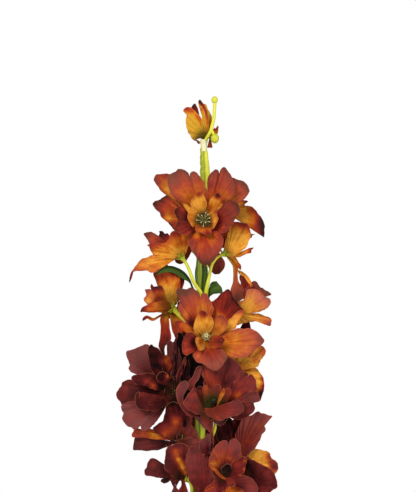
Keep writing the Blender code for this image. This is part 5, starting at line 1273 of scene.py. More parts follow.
frontBaseBloom["petals"] = [
    petal(1.5, 4, 23, bow=3, cup=0.5, ripe=(0.42, 0.62, 0.8), blush=0.2,
        cut=[(219, 473), (214, 469.7), (211, 466.7), (208.7, 463), (209.5, 457), (211.5, 452),
        (214.5, 447.5), (217.5, 444), (220.5, 441.5), (224, 440.2), (227, 441.3), (228.5, 444.8),
        (229.5, 441), (232, 439), (235.5, 439.2), (238.5, 441.8), (240.4, 445.5), (240.2, 449),
        (241.3, 453), (242, 456.7), (238, 460.5), (233.5, 465), (230, 470), (226, 474)],
        spots=[(224, 445, 3, 0.16), (237, 453, 5, 0.26), (226, 469, 6.5, 0.5), (212.5, 464, 3.5, -0.34),
        (217, 464, 4, -0.2), (224, 460, 5, -0.1)]),
    petal(20, 5, 9, bow=3, cup=0.8, curl=2, ripe=(0.8, 0.74, 1), blush=0,
        cut=[(227, 480), (229.7, 471), (231.3, 464.5), (235, 460.5), (239.5, 457.5), (242.5, 456.4),
        (245.5, 457.6), (246.8, 460.3), (246, 465), (244.6, 470), (242.6, 474.5), (238.5, 478.8),
        (234, 481.7), (230, 483.5)],
        spots=[(237, 464, 3, -0.3), (236, 457, 3, 0.14), (245, 461, 1.8, -0.5), (244, 469, 1.5, -0.5),
        (240.5, 475.5, 1.5, -0.5), (234, 481, 2, -0.5)]),
    petal(22, 8, -9, cup=0.5, curl=-2, ripe=(0.8, 0.74, 1), blush=0.14,
        cut=[(228, 480), (237, 478.5), (243, 475.5), (250, 477.5), (255, 482), (257.5, 488), (256, 496),
        (246, 501), (236, 496), (229, 487)],
        spots=[(249, 486, 5, -0.04)]),
    petal(-12, 6, -22, cup=0.5, curl=-2, ripe=(0.84, 0.5, 1),
        cut=[(225, 476), (219, 472.5), (214, 469.5), (212.5, 474), (213.5, 480), (210, 485), (205, 489),
        (203, 500), (214, 505), (224, 501), (229, 488), (228, 480)],
        spots=[(214, 487, 6, -0.14), (221, 476, 5, 0.1)]),
    petal(8, 9, -26, bow=5, cup=0.4, curl=-2, ripe=(0.3, 0.5, 1),
        cut=[(226, 482), (222, 492), (223, 503), (232, 509), (242, 508), (248, 500), (243, 490.5),
        (236, 486.5), (231, 482)],
        spots=[(249, 490, 5, 0.4)]),
    petal(10, 10, 3, bow=1, cup=0.9, curl=2, ripe=(1.0, 1.0, 1), blush=0,
        cut=[(226, 479), (222, 473.5), (221.5, 468.5), (225, 464.5), (229, 464), (231.3, 466.5),
        (231, 471.5), (230, 478)]),
    petal(-6, 10, 6, bow=1, cup=0.9, ripe=(0.3, 0.44, 1), shade=0.4,
        cut=[(226.5, 481), (221.5, 478.2), (216, 474), (212, 469.4), (209, 464.8), (210, 463.6),
        (213.6, 467.2), (217.6, 471.7), (222.6, 476.2), (227, 479.8)]),
    petal(1, 13, -8, bow=1, cup=0.8, ripe=(0.56, 0.6, 1), shade=0.5,
        cut=[(224.5, 477.5), (226, 481), (228, 484.7), (231.5, 486.7), (235.2, 485), (234.3, 481),
        (230, 477.5)]),
]
rightBaseBloom = {
    "name": "right_base", "cloth": "petal_burgundy", "heart": (29, 0, 14), "facing": (0.9, 0.2, 0.2),
    "drop": 26,
}
rightBaseBloom["petals"] = [
    petal(24, 1, 6, bow=3, cup=0.5, curl=-1, face=(-0.1, 0.85, 0.5), ripe=(-0.06, 0.1, 1.5), blush=0.1,
        cut=[(243, 466), (243, 460), (245, 456.3), (249, 452.8), (254.5, 449.2), (260, 449.2), (266, 450.6),
        (269.5, 453.3), (271.7, 458.3), (275.5, 461), (278.3, 465), (278.6, 468.5), (276.6, 471.7),
        (273.5, 475), (268, 474), (258, 471), (248, 469)],
        spots=[(269.5, 456.5, 4, 0.42), (275, 466.5, 5.5, 0.72), (271, 463, 4, 0.3), (264, 460, 4, 0.06)]),
    petal(23, 8, -10, cup=0.4, curl=-1, face=(0.1, 1, 0.1), ripe=(0.84, 0.74, 1), blush=0.04, bend=3,
        cut=[(243, 480), (244, 470), (245.3, 461.3), (249.5, 459.3), (256, 461.8), (262, 464.3),
        (267, 466.8), (271, 469.8), (274, 474), (275.9, 478), (277.2, 483), (277.5, 487.2), (274, 489.7),
        (271, 492.2), (268, 498), (258, 503), (250, 498), (244, 488)],
        spots=[(250, 466, 7, 0.16), (268, 484, 7, 0.04)]),
    petal(7, 8, -25, 22, cup=0.5, face=(0.2, 1, 0), ripe=(0.6, 0.75, 1)),
    petal(9, -17, 8, 20, ripe=(0.5, 0.75, 1), bend=-9),
    petal(9, -15, -14, 20, ripe=(0.5, 0.75, 1)),
    petal(8, -6, 2, 10, bow=1, cup=0.9, ripe=(0.5, 0.75, 1)),
]
leftBaseBloom = {
    "name": "left_base", "cloth": "petal_burgundy", "heart": (-17, 6, 11), "facing": (-0.75, 0.5, 0.3),
    "drop": 25, "stalkRadii": (1.5, 1.4),
    "stalk": [(-6, 1, -15), (-9.2, 3.5, -3), (-9.8, 4, 4), (-11.5, 5, 8.5), (-15, 5.3, 10.5)],
}
leftBaseBloom["petals"] = [
    petal(-27.5, 3, 7, bow=3, cup=0.5, curl=-1, face=(0, 1, 0.1), ripe=(0.88, 0.84, 1), blush=0.08,
        cut=[(185, 481), (176, 479.5), (168, 479), (160, 478.2), (152, 476.7), (146, 475.4), (144.4, 473),
        (144.6, 470), (147, 467), (147, 463.5), (148.5, 460), (151.5, 457.7), (155, 458.7), (159, 461.4),
        (163.3, 465.7), (168, 468), (175, 471), (185, 476)],
        spots=[(153, 466, 5, -0.06), (155, 471, 5, 0.06)]),
    petal(-4.5, 5, 24, bow=-2, cup=0.7, curl=1, face=(0.2, 0.95, 0), ripe=(0.76, 0.78, 1.6),
        cut=[(188, 481), (180, 480.5), (173, 477.7), (167, 472), (163.8, 466), (165.2, 457), (166, 450),
        (168, 446.3), (172, 444.8), (178, 443), (184, 444), (188.3, 448), (188.5, 458), (188, 468),
        (189, 477)],
        spots=[(167, 457, 6, 0.14), (175.5, 453, 4, -0.4), (178.5, 460, 3.6, -0.66), (182, 467, 3.6, -0.7),
        (185, 473, 3, -0.6), (172, 470, 5, 0.1), (180, 478, 6, 0.3)]),
    petal(-9, 8, -19, cup=0.7, face=(0, 1, 0), ripe=(0.8, 0.76, 1), blush=0.22,
        edges=([(169, 476), (170.3, 480), (172, 484.5), (173.3, 487.5), (171.5, 492), (170, 500)],
        [(174, 476.5), (174.6, 480.5), (175, 484.5), (176.7, 487.8), (180, 491.5), (181, 500)])),
    petal(-2, 8, -23, face=(0, 1, 0), ripe=(0.66, 0.74, 1),
        edges=([(180.5, 478), (181.3, 482), (181.3, 485.5), (179.5, 488.5), (177.5, 493), (177, 500)],
        [(184.3, 478.5), (185.3, 483), (187, 488), (188.5, 493), (189.2, 497), (189.5, 500)])),
    petal(-10, -15, 10, 20, ripe=(0.5, 0.75, 1)),
    petal(-5, -17, -10, 14, ripe=(0.5, 0.75, 1)),
    petal(-8, -3, 3, 10, bow=1, cup=0.9, ripe=(0.5, 0.75, 1)),
    petal(-14, 6, 1, bow=1, extra=True, ripe=(1, 1.1, 1),
        cut=[(174, 476.5), (168, 477.5), (162, 478.3), (160.3, 481), (163, 483.3), (167.7, 482.8),
        (169, 480.2), (174, 479.5)]),
]
rearBaseBloom = {
    "name": "rear_base", "cloth": "petal_burgundy", "heart": (-2, -17, 24), "facing": (0.2, -1, 0.15),
    "drop": 24, "stamens": 8.0, "ringed": ring((0.2, -1, 0.15), 29, -5, (0.5, 0.78, 1), bends={6: 3}),
}
rearBaseBloom["petals"] = []
frontLastBloom = {
    "name": "front_last", "cloth": "petal_burgundy", "heart": (-4, 17, -12), "facing": (-0.05, 0.9, 0.1),
    "drop": 22, "stamens": 7.0,
}
frontLastBloom["petals"] = [
    petal(2.5, 5, 53, cup=0.3, via=(1, 8, 20), face=(0, 1, 0), ripe=(0.72, 0.68, 1), bend=-15, blush=0.14,
        cut=[(201, 502), (198.5, 488.5), (194, 484.7), (190, 480.7), (187.3, 475), (186, 467), (186, 459),
        (187.3, 452.5), (190.5, 447.5), (195, 443.8), (200, 440.2), (205, 438.8), (208.5, 442), (209, 449),
        (208.6, 456), (210, 462), (212.2, 468.5), (213.4, 475), (212.5, 481.5), (208.7, 485.5),
        (204.7, 488.3), (206.5, 502)],
        spots=[(204, 445, 5.5, 0.2), (191, 470, 6, 0.04), (204, 470, 6, -0.03)]),
    petal(-27, 4, 4, 23, cup=0.5, curl=-2, ripe=(0.35, 0.7, 1)),
    petal(-18, 5, -24, 25, cup=0.5, curl=-2, notch=0.08, ripe=(0.35, 0.7, 1)),
    petal(10, 5, -30, 25, cup=0.5, curl=-2, ripe=(0.35, 0.7, 1)),
    petal(29, 4, -14, 24, cup=0.5, curl=-2, notch=0.07, ripe=(0.35, 0.7, 1)),
    petal(-12, 9, 4, 13, bow=1, cup=0.9, ripe=(0.35, 0.7, 1)),
    petal(8, 10, 8, 13, bow=1, cup=0.9, ripe=(0.35, 0.7, 1)),
    petal(-3, 11, -12, 13, bow=1, cup=0.9, ripe=(0.35, 0.7, 1)),
    petal(8, 2, 44, bow=1, extra=True, ripe=(0.86, 0.88, 1), blush=0.2,
        cut=[(203, 455), (199.3, 448), (199.3, 443.5), (202.5, 439), (205.5, 436.5), (208, 433.5),
        (210, 438), (211, 445), (210.5, 453)]),
]
rightLastBloom = {
    "name": "right_last", "cloth": "petal_burgundy", "heart": (20, -4, -28), "facing": (0.85, -0.3, 0.1),
    "drop": 24, "ringed": ring((0.85, -0.3, 0.1), 28, 30, (0.4, 0.72, 1), bends={1: 9}),
}
rightLastBloom["petals"] = []
leftLastBloom = {
    "name": "left_last", "cloth": "petal_burgundy", "heart": (-28, -5, -34), "facing": (-0.85, -0.3, 0.1),
    "drop": 24, "ringed": ring((-0.85, -0.3, 0.1), 28, 5, (0.4, 0.72, 1)),
}
leftLastBloom["petals"] = []
bloomSet = [
    tipBloom, crownBloom, shoulderBloom, rightUpperBloom, leftUpperBloom, rearUpperBloom,
    leftMiddleBloom, rightMiddleBloom, frontMiddleBloom, rearMiddleBloom, rightGoldBloom,
    leftDarkBloom, frontLowBloom, rearLowBloom, leftLowBloom, rightLowBloom, frontBaseBloom,
    rightBaseBloom, leftBaseBloom, rearBaseBloom, frontLastBloom, rightLastBloom, leftLastBloom,
]

throatShades = {  # how deep the painted olive shade of the throat is, and how many mm it reaches
    "tip": (0.85, 10.5),
    "crown": (0.95, 10.5),
    "front_middle": (0.4, 15),
    "left_middle": (0.6, 17),
    "right_middle": (0.08, 8),
    "right_gold": (0.05, 8),
    "front_low": (0.92, 16),
    "front_base": (0.25, 11),
}
plainThroatShade = {"open": (0.35, 10.5), "side": (0.25, 10.5)}


def rowsDot(first, second):
    return (first * second).sum(axis=-1, keepdims=True)


def unit(rows):
    return rows / np.maximum(np.linalg.norm(rows, axis=-1, keepdims=True), 1e-12)


def hump(x, wide):
    return np.exp(-((x / wide) ** 2))


def curled(share):  # how far a petal's curl has come at this share of its length
    begin = petalMake["curlFrom"]
    return np.clip((share - begin) / (1 - begin), 0, None) ** 2


def anyPhases(chance, count):
    return [chance.uniform(0, 2 * math.pi) for _ in range(count)]


def stepLengths(line):
    return np.linalg.norm(np.diff(line, axis=0), axis=1)


def arcAlong(line):
    return np.concatenate(([0], np.cumsum(stepLengths(line))))


def widthShare(shape, v):
    root, widest, end, power = bladeShapes[shape]
    rising = root + (1 - root) * np.sin(np.pi / 2 * np.clip(v / widest, 0, 1)) ** power
    falling = 1 - (1 - end) * ((v - widest) / (1 - widest)) ** 2
    return np.where(v < widest, rising, falling)


def bladeSheet(blade, across, along, chance, ruffle, wobble):
    line = petalMake["edgeLine"] * mm
    columns = marginSteps(across, min(0.2, line / blade["width"])) * 2 - 1
    rows = marginSteps(along, min(0.1, line / (blade["tip"] - blade["root"]).length))
    u, v = np.meshgrid(columns, np.concatenate((rows[:1], rows[2:])))
    side01 = np.sign(u)
    phase = anyPhases(chance, 10)
    speed = [chance.uniform(0.8, 1.25) for _ in range(6)]
    root, via, tip = (np.array(blade[key]) for key in ("root", "via", "tip"))
    long = np.linalg.norm(tip - via) + np.linalg.norm(via - root)
    stretch = long / blade["width"]
    dip = blade["notch"] * hump(u, petalMake["notchHalf"]) * v**4
    t = v * (1 - petalMake["sweep"] * u**2 - petalMake["roundTip"] * u**6) * (1 - dip)
    tipWaves = sum(high * np.sin(often * speed[n] * u + phase[n])
                   for n, (high, often) in enumerate(petalMake["tipWaves"]))
    t = t * (1 + wobble * 0.75 * tipWaves * v**5)
    t = t[..., None]
    middle = root * (1 - t) ** 2 + via * 2 * t * (1 - t) + tip * t * t
    along = unit((via - root) * (1 - t) + (tip - via) * t)
    side = np.array(blade["side"])
    side = unit(side - along * rowsDot(along, side))
    normal = np.cross(along, side)
    edgeWaves = sum(high * np.sin(often * speed[n] * stretch * v + phase[n] + side01 * shift)
                    for n, (high, often, shift) in enumerate(petalMake["edgeWaves"], 2))
    half = blade["width"] / 2 * widthShare(blade["shape"], v) * (1 + wobble * edgeWaves * v * np.abs(u))
    cup = blade["cup"]
    across = half * np.sin(cup * u) / cup
    lift = half * (1 - np.cos(cup * u)) / cup
    lift = lift + blade["curl"] * curled(v)
    high, often = petalMake["sideRuffle"]
    waves = high * np.abs(u) ** 3 * v * np.sin(often * speed[4] * stretch * v + phase[4] + side01 * phase[5])
    high, often = petalMake["endRuffle"]
    waves += v**6 * np.sin(often * speed[5] * u + phase[6]) * high
    high, often = petalMake["fineRuffle"]
    waves += high * np.abs(u) ** 5 * v * np.sin(often * stretch * v + phase[7] + side01 * 2)
    lift = lift + ruffle * blade["width"] * waves
    folds = np.sin(petalMake["pleats"] * u + phase[8]) * v * (1.1 - 0.6 * v) * (0.4 + 0.6 * np.abs(u))
    folds -= 0.9 * hump(u, petalMake["creaseHalf"]) * v * (1.05 - v)
    lift = lift + blade["width"] * petalMake["pleat"] * folds
    points = middle + side * across[..., None] + normal * lift[..., None]
    flat = np.stack((u * half, v * long), -1) / mm
    radial = np.stack((u * blade["width"] / 2, v * long), -1) / mm
    return {"points": points, "u": u, "v": v, "reach": v, "plane": None, "flat": flat, "radial": radial}


def marginSteps(count, line):  # even steps with one more close to each end, for the pale cut line
    steps = np.linspace(0, 1, count)
    return np.concatenate(([0, line], steps[1:-1], [1 - line, 1]))


def stepsBetween(points):
    return np.maximum(np.ceil(stepLengths(points) / petalMake["step"]), 1).astype(int)


def smoothCut(knots, steps):
    ends = np.vstack((2 * knots[0] - knots[1], knots, 2 * knots[-1] - knots[-2]))
    rows = []
    for k, count in enumerate(steps):
        before, start, end, after = ends[k:k + 4]
        t = (np.arange(count) / count)[:, None]
        rows.append(start + 0.5 * t * (end - before + t * (2 * before - 5 * start + 4 * end - after
                                                           + t * (3 * start - before - 3 * end + after))))
    return np.concatenate((*rows, knots[-1:]))


def sheetDepth(blade, share, across, half):  # mm towards the viewer, from the path of the solid and its cup
    root, via, tip = (-blade[key].y / mm for key in ("root", "via", "tip"))
    middle = root * (1 - share) ** 2 + via * 2 * share * (1 - share) + tip * share**2
    along = (blade["tip"] - blade["root"]).normalized()
    normal = along.cross(blade["side"])
    toViewer = math.copysign(max(abs(normal.y), 0.5), -normal.y)
    cup = blade["cup"]
    lift = half * (1 - np.cos(cup * np.clip(across / half, -1.2, 1.2))) / cup
    lift = lift + blade["curl"] / mm * curled(share)
    return middle + toViewer * lift


def fromPlane(plane, front):  # the real place of what the camera sees there on the plane through the stem
    shrink = 1 - front / (viewSetup["distance"] / mm)
    aimAcross, aimUp = viewSetup["aim"][0] / mm, viewSetup["aim"][2] / mm
    across = aimAcross + (plane[..., 0] - aimAcross) * shrink
    up = aimUp + (plane[..., 1] + headLow - aimUp) * shrink
    return np.stack((across, -front, up), -1) * mm


def fanSheet(blade, chance):
    traced = fromPhoto(blade["cut"])
    outline = smoothCut(traced, stepsBetween(traced))
    arc = arcAlong(outline)
    outward = unit(np.gradient(outline, axis=0) @ np.array(((0, -1), (1, 0))))
    nearRoot = np.clip(np.minimum(arc, arc[-1] - arc) / petalMake["frayFrom"], 0, 1)
    for high, wide in petalMake["fray"]:
        start = chance.uniform(0, 99)
        ripple = np.array([noise.noise(Vector((a / wide, start, 0))) for a in arc])
        outline = outline + outward * (high * ripple * nearRoot)[:, None]
    middle = (outline[0] + outline[-1]) / 2
    columns = arc / arc[-1]
    rootLine = middle + (outline[-1] - outline[0]) * petalMake["rootShare"] * (columns[:, None] - 0.5)
    spine = outline.mean(axis=0) - middle
    spine = spine / np.linalg.norm(spine)
    long = ((outline - middle) @ spine).max()
    half = max(np.abs((outline - middle) @ np.array((spine[1], -spine[0]))).max(), 2.0)
    rows = np.linspace(0, 1, petalMake["rows"])
    rows = np.concatenate((rows[:-1], [1 - petalMake["edgeLine"] / long, 1]))
    u, v = np.meshgrid(columns * 2 - 1, rows)
    plane = rootLine * (1 - v[..., None]) + outline * v[..., None]
    share = np.clip((plane - middle) @ spine / long, 0, 1)
    across = (plane - middle) @ np.array((spine[1], -spine[0]))
    front = sheetDepth(blade, share, across, half)
    phase = anyPhases(chance, 4)
    turns = 2 * math.pi * arc * chance.uniform(0.85, 1.15)
    least, oneMore = petalMake["waviness"]
    size = least + half / oneMore
    waves = sum(mix * np.sin(turns / every + start)
                for mix, every, start in zip(petalMake["waveMix"], petalMake["wave"], phase))
    folds = np.sin(turns / petalMake["fold"] + phase[2])
    crease = hump(across, petalMake["creaseHalf"] * half) * share * (1.05 - share)
    front = front + petalMake["waveHigh"] * size * waves * v**2.5
    front = front + petalMake["foldHigh"] * size * folds * v * (1.3 - 0.7 * v)
    front = front - petalMake["crease"] * size * crease
    side = petalMake["sideReach"]
    return {
        "points": fromPlane(plane, front),
        "plane": plane,
        "u": u,
        "v": v,
        "reach": v * (side + (1 - side) * share),
        "flat": np.stack((across, share * long), -1),
        "radial": np.stack((np.broadcast_to(arc, v.shape), v * long), -1),
    }


def stripSheet(blade, chance):
    first, second = (fromPhoto(edge) for edge in blade["edges"])
    steps = np.maximum(stepsBetween(first), stepsBetween(second))
    left, right = smoothCut(first, steps), smoothCut(second, steps)
    middle = (left + right) / 2
    arc = arcAlong(middle)
    long = arc[-1]
    halves = np.linalg.norm(right - left, axis=1) / 2
    half = max(halves.max(), 1.0)
    columns = marginSteps(petalMake["stripColumns"], min(0.2, petalMake["edgeLine"] / 2 / half)) * 2 - 1
    u, v = np.meshgrid(columns, arc / long)
    plane = left[:, None, :] * ((1 - u) / 2)[..., None] + right[:, None, :] * ((1 + u) / 2)[..., None]
    across = u * halves[:, None]
    front = sheetDepth(blade, v, across, half)
    phase = anyPhases(chance, 3)
    turns = 2 * math.pi * arc[:, None] / petalMake["wave"][1]
    waves = np.sin(turns + phase[0] + np.sign(u) * phase[1]) * np.abs(u) ** 2
    share, fold = petalMake["stripWaves"], hump(u, petalMake["stripFold"])
    front = front + share * petalMake["waveHigh"] * waves * v - share * petalMake["crease"] * fold
    points = fromPlane(plane, front)
    flat = np.stack((across, v * long), -1)
    return {"points": points, "u": u, "v": v, "reach": v, "plane": plane, "flat": flat, "radial": flat}


def addSheet(shape, sheet, chance, thickness, ripe, throatShade, blush=0.0):
    points, v = sheet["points"], sheet["v"]
    inside = unit(np.cross(np.gradient(points, axis=0), np.gradient(points, axis=1)))
    rows, columns = v.shape
    count = rows * columns
    grid = np.arange(count).reshape(rows, columns)
    upper = (points + inside * thickness / 2).reshape(-1, 3)
    lower = (points - inside * thickness / 2).reshape(-1, 3)
    a, b, c, d = (g.ravel() for g in (grid[:-1, :-1], grid[1:, :-1], grid[1:, 1:], grid[:-1, 1:]))
    faces = np.concatenate((np.stack((a, b, c, d), 1), np.stack((a, d, c, b), 1) + count))
    loop = np.concatenate((grid[:, 0], grid[-1, 1:], grid[-2::-1, -1], grid[0, -2:0:-1]))
    after = np.roll(loop, -1)
    rim = np.stack((after, loop, loop + count, after + count), 1)
    cut = np.zeros((rows, columns))
    cut[-1, :] = cut[:, 0] = cut[:, -1] = 1.0
    cut = cut * np.clip(v * 3, 0, 1)
    start = (chance.uniform(0, 9), chance.uniform(0, 9))
    flat = (sheet["flat"] / uvSpan + start).reshape(-1, 2)
    radial = (sheet["radial"] / uvSpan + start).reshape(-1, 2)
    addShape(
        shape,
        np.concatenate((upper, lower)).tolist(),
        np.concatenate((faces, rim)).tolist(),
        np.concatenate((ripe.ravel(), ripe.ravel() - petalMake["outerPaler"])).tolist(),
        np.tile(cut.ravel(), 2).tolist(),
        np.tile(throatShade.ravel(), 2).tolist(),
        np.concatenate((flat, flat + 0.37)).tolist(),
        np.concatenate((radial, radial + 0.37)).tolist(),
        # painted sheen, stronger out towards the margin
        np.tile(blush * np.clip(sheet["reach"] * 2 - 0.4, 0, 1).ravel(), 2).tolist(),
    )


def petalBlade(bloom, spec, order):
    facing, heart = bloom["axis"], bloom["middle"]
    tip = spec["tip"] + place(0, spec["bend"], 0)
    out = (tip - facing * tip.dot(facing)).normalized()
    root = out * petalMake["rootOut"] * mm
    root += facing * (order - petalMake["rootBehind"]) * petalMake["rootSpread"] * mm
    if spec["via"]:
        via = spec["via"] + place(0, spec["bend"] * petalMake["bendShare"], 0)
    else:
        via = root.lerp(tip, petalMake["bendAt"]) + facing * spec["bow"]
    side = (spec["face"] or facing).cross(tip - root).normalized()
    return {**spec, "root": heart + root, "via": heart + via, "tip": heart + tip, "side": side}


def ripenessOf(spec, sheet, chance, rimDark):
    u, v, reach, plane = (sheet[key] for key in ("u", "v", "reach", "plane"))
    heart, rim, fade = spec["ripe"]
    phase = anyPhases(chance, 3)
    reach = np.clip(reach + petalMake["reachSway"] * np.sin(5 * u + phase[0]) * v, 0, 1)
    margin = np.clip((reach - petalMake["marginFrom"]) / (1 - petalMake["marginFrom"]), 0, 1)
    value = heart + (rim - heart) * reach**fade + rimDark * margin ** petalMake["marginPower"]
    if plane is None:  # a petal without a traced outline ripens towards its sides as well
        value = value + petalMake["sideRipe"] * np.abs(u) ** 4 * v
    # the spots paint patches of dye, and painted shade and painted highlights, onto the ripeness
    for column, row, radius, change in spec["spots"]:
        right, up = fromPhoto([(column, row)])[0]
        far = ((plane[..., 0] - right) ** 2 + (plane[..., 1] - up) ** 2) / (radius * photo["mmPerPixel"]) ** 2
        value = value + change * np.exp(-far)
    return value + petalMake["ripeSway"] * np.sin(3 * u + phase[1]) * np.sin(4 * v + phase[2])


def bloomCore(bloom):  # mm, the radius of the knot that holds the petals
    return petalMake["coreRadius"]["open" if "stamens" in bloom else "side" if bloom["drop"] else "tip"]


# painted shade of the throat, darkest near the heart and gone past its reach
def throatShadeAround(bloom):
    amount, reach = throatShades.get(bloom["name"], plainThroatShade["open" if "stamens" in bloom else "side"])
    middle = np.array(bloom["middle"])
    fade = reach * petalMake["throatFade"]

    def throatShade(points):
        far = np.linalg.norm(points - middle, axis=-1) / mm
        return amount * np.clip((reach - far) / fade, 0, 1) ** petalMake["throatPower"]

    return throatShade


backing = {  # petals that only the sides and the back show: right, front, up and width in mm
    "tip": [(-6.5, -1, 21, 14), (-5.5, -7, 18, 12)],
    "shoulder": [(3, -18, 12, 22), (3, -17, -10, 22), (3, 14, 9, 18), (4, -2, 20, 18)],
    "right_upper": [(2, -17, 9, 18), (3, -9, 15, 15)],
    "left_upper": [(-2, -17, 9, 18), (-2, -9, 14, 15)],
    "left_middle": [(-2, -16, 8, 18), (-1, -14, -9, 16)],
    "right_middle": [(2, -16, 8, 18), (2, -15, -6, 16)],
    "right_gold": [(2, -17, 9, 18), (2, -16, -9, 18), (1, 13, 5, 14)],
    "left_dark": [(-2, -20, 10, 20), (-2, -19, -10, 20)],
    "left_low": [(0, -17, 9, 18), (0, -16, -8, 16)],
    "right_low": [(2, -17, 9, 18), (1, -16, -9, 16)],
    "right_base": [(2, -17, 8, 18), (2, -15, -9, 18)],
    "left_base": [(-2, -17, 9, 18)],
    "cup": 0.8,
    "notch": 0.06,
    # painted sheen on the hidden petals
    "blush": 0.2,
    "reach": {"crown": 15, "front_middle": 11, "front_low": 10, "front_base": 10, "front_last": 12},
    "tone": {
        "petal_gold": (0.12, 0.42, 1.2),
        "petal_orange": (0.4, 0.62, 1.2),
        "petal_burgundy": (0.8, 0.78, 1),
    },
}


def hiddenPetals(bloom):
    tone = backing["tone"][bloom["cloth"]]
    reach = backing["reach"].get(bloom["name"])
    if reach:
        made = ringOf(bloom["facing"], reach, ringMake["backTurn"], tone, width=reach + ringMake["backWider"],
                      **ringMake["backs"])
    else:
        outward = 1 if bloom["heart"][0] > 0 else -1
        made = [petal(*tip, cup=backing["cup"], face=(outward, 0, 0), ripe=tone, notch=backing["notch"])
                for tip in backing.get(bloom["name"], [])]
    return [{**spec, "extra": True, "blush": backing["blush"]} for spec in made]


for bloom in bloomSet:
    bloom["axis"] = place(*bloom["facing"]).normalized()
    bloom["middle"] = onSpray(*bloom["heart"])
    chance = random.Random("bloom " + bloom["name"])
    petals = bloom.get("ringed", []) + bloom["petals"] + hiddenPetals(bloom)
    last = sum(not spec["extra"] for spec in petals) - 1
    shape = emptyShape()
    throatShadeOf = throatShadeAround(bloom)
    for number, spec in enumerate(petals):
        blade = petalBlade(bloom, spec, number / last if number <= last else petalMake["extraRoot"])
        if spec["cut"]:
            sheet = fanSheet(blade, chance)
        elif spec["edges"]:
            sheet = stripSheet(blade, chance)
        else:
            grid = petalMake["gridWide" if spec["width"] > petalMake["wideFrom"] * mm else "gridNarrow"]
            sheet = bladeSheet(blade, *grid, chance, petalMake["ruffle"], petalMake["wobble"])
        ripe = ripenessOf(spec, sheet, chance, petalMake["rimDark"][bloom["cloth"]])
        # each petal takes the painted throat shade, scaled by its own share
        addSheet(shape, sheet, chance, petalMake["thickness"] * mm, ripe,
                 throatShadeOf(sheet["points"]) * spec["shade"], spec["blush"])
    core = (bloom["middle"], bloom["axis"], bloomCore(bloom) * mm, petalMake["coreTall"], 18, 10)
    points, faces = ballShape(*core)
    # the knot's ripeness and its painted throat shade
    ripe, throatShade = petalMake["coreTone"][bloom["cloth"]]
    addShape(shape, points, faces, ripe, throatShade=[throatShade] * len(points))
    cloth = clothOf[bloom["cloth"] if bloom["drop"] else "bud"]
    newPiece("bloom_" + bloom["name"] + "_cloth", shape, cloth, bloom["cloth"], "bloom_" + bloom["name"])
print("blooms cut:", len(bloomSet))


# The stem is a rod with two lobes, and every bloom has a stalk and five sepals on it.
stemMake = {
    "line": [(21.0, 0, 8.8), (8.0, 0, 110), (-5.2, 0, 212), (-10.0, 0, 265), (-9.0, 0, 325), (-5.0, 0, 385),
             (-3.5, 0, 445), (-2.4, 0, 530), (-0.6, 0, 585), (0.2, 0, 618), (-1.0, 0, 643)],
    "rings": 18,  # of points between two places of this line
    "lobePoints": 15,  # round each lobe
    "lobeRadius": 2.32,
    "lobeOff": 1.58,  # from the middle of the stem to the middle of a lobe
    "taperFrom": 620.0,
    "taper": 0.32,
    "knobs": 0.3,  # height of the moulded bumps on the left lobe
    "knobScale": 420,
    "smoother": 0.45,  # the right lobe's bumps, as a share of the left one's
    # mm each side of the middle that the painted groove shade spans
    "grooveHalf": 1.1,
    "tones": {"right": (0.72, 0.06), "left": (0.42, 0.16)},  # ripeness, and what the fresh top adds to it
    "freshFrom": 560,
    "freshOver": 50,
    "stalkRadius": 1.5,
    "stalkSides": 14,
    "stalkBend": (0.35, 0.2),  # where a stalk bends on its way, and how far it has risen there, as shares
    "straight": (5.0, 2.2),  # mm behind the seat between which a stalk points at its bloom
    "stalkTone": (0.74, 0.82),
    "calyxRadius": 2.6,
    "calyxLong": 4.5,
    "calyxPower": 1.4,
    "calyxDarker": 0.16,
    "darkLong": 6,
    "seatGap": 0.5,  # mm from the core of a bloom back to its calyx
    "sepals": 5,
    "sepalLong": 4.8,
    "sepalWide": 3.4,
    "sepalThick": 0.45,
    "sepalCup": 0.9,
    "sepalTip": (0.72, 0.66),  # outwards and forwards, as shares of the length
    "sepalVia": (0.66, 0.06, 0.55),  # the same, and how far along it lies
    "sepalTone": {"root": 0.6, "tipDarker": 0.14, "rib": 0.08, "ribHalf": 0.3},
    "sepalGrid": (7, 10),
    "sepalUneven": 0.02,
    "sepalDark": 0.45,  # how long the sepals behind burgundy blooms are, as a share
    "sepalSeat": (1.6, 0.6),  # mm outwards and back from the seat
    "collar": {  # the rough end of the rod
        "radius": 2.15,
        "top": 3.1,
        "low": 640.5,
        "high": 649.3,
        "right": -0.8,
        "lean": -0.02,
        "ripple": 0.1,
        "rippleEvery": 2.1,
        "steps": 8,
        "sides": 16,
        "ripe": 1.0,
    },
    "stalkTip": [(-0.4, 0, 262.5), (2.2, 3.6, 266.6), (4.1, 5, 270), (5.3, 5.2, 274.5), (6.6, 5, 280),
                 (7.4, 5, 292)],
    "tipRadius": 1.35,
    "tipThinner": 0.1,
    "tipSides": 12,
    "tipRipe": 0.8,
    "fork": (4.6, 5, 271.5),
    "forkRadius": 1.05,
    "forkBow": 0.5,
    "ballRough": 0.06,
    "ballGrid": (20, 14),
    "tipBall": {"at": (7.2, 5, 293.7), "radius": 2.45, "tall": 1.12, "ripe": 0.76},
    "sideBall": {"at": (7.4, 6.4, 264.8), "radius": 3.1, "tall": 1.2, "ripe": 0.68},
}


def stemCentre(height):
    line = [place(*p) for p in stemMake["line"]]
    for low, high in zip(line, line[1:]):
        if height <= high.z:
            return low.lerp(high, (height - low.z) / (high.z - low.z))
    return line[-1]


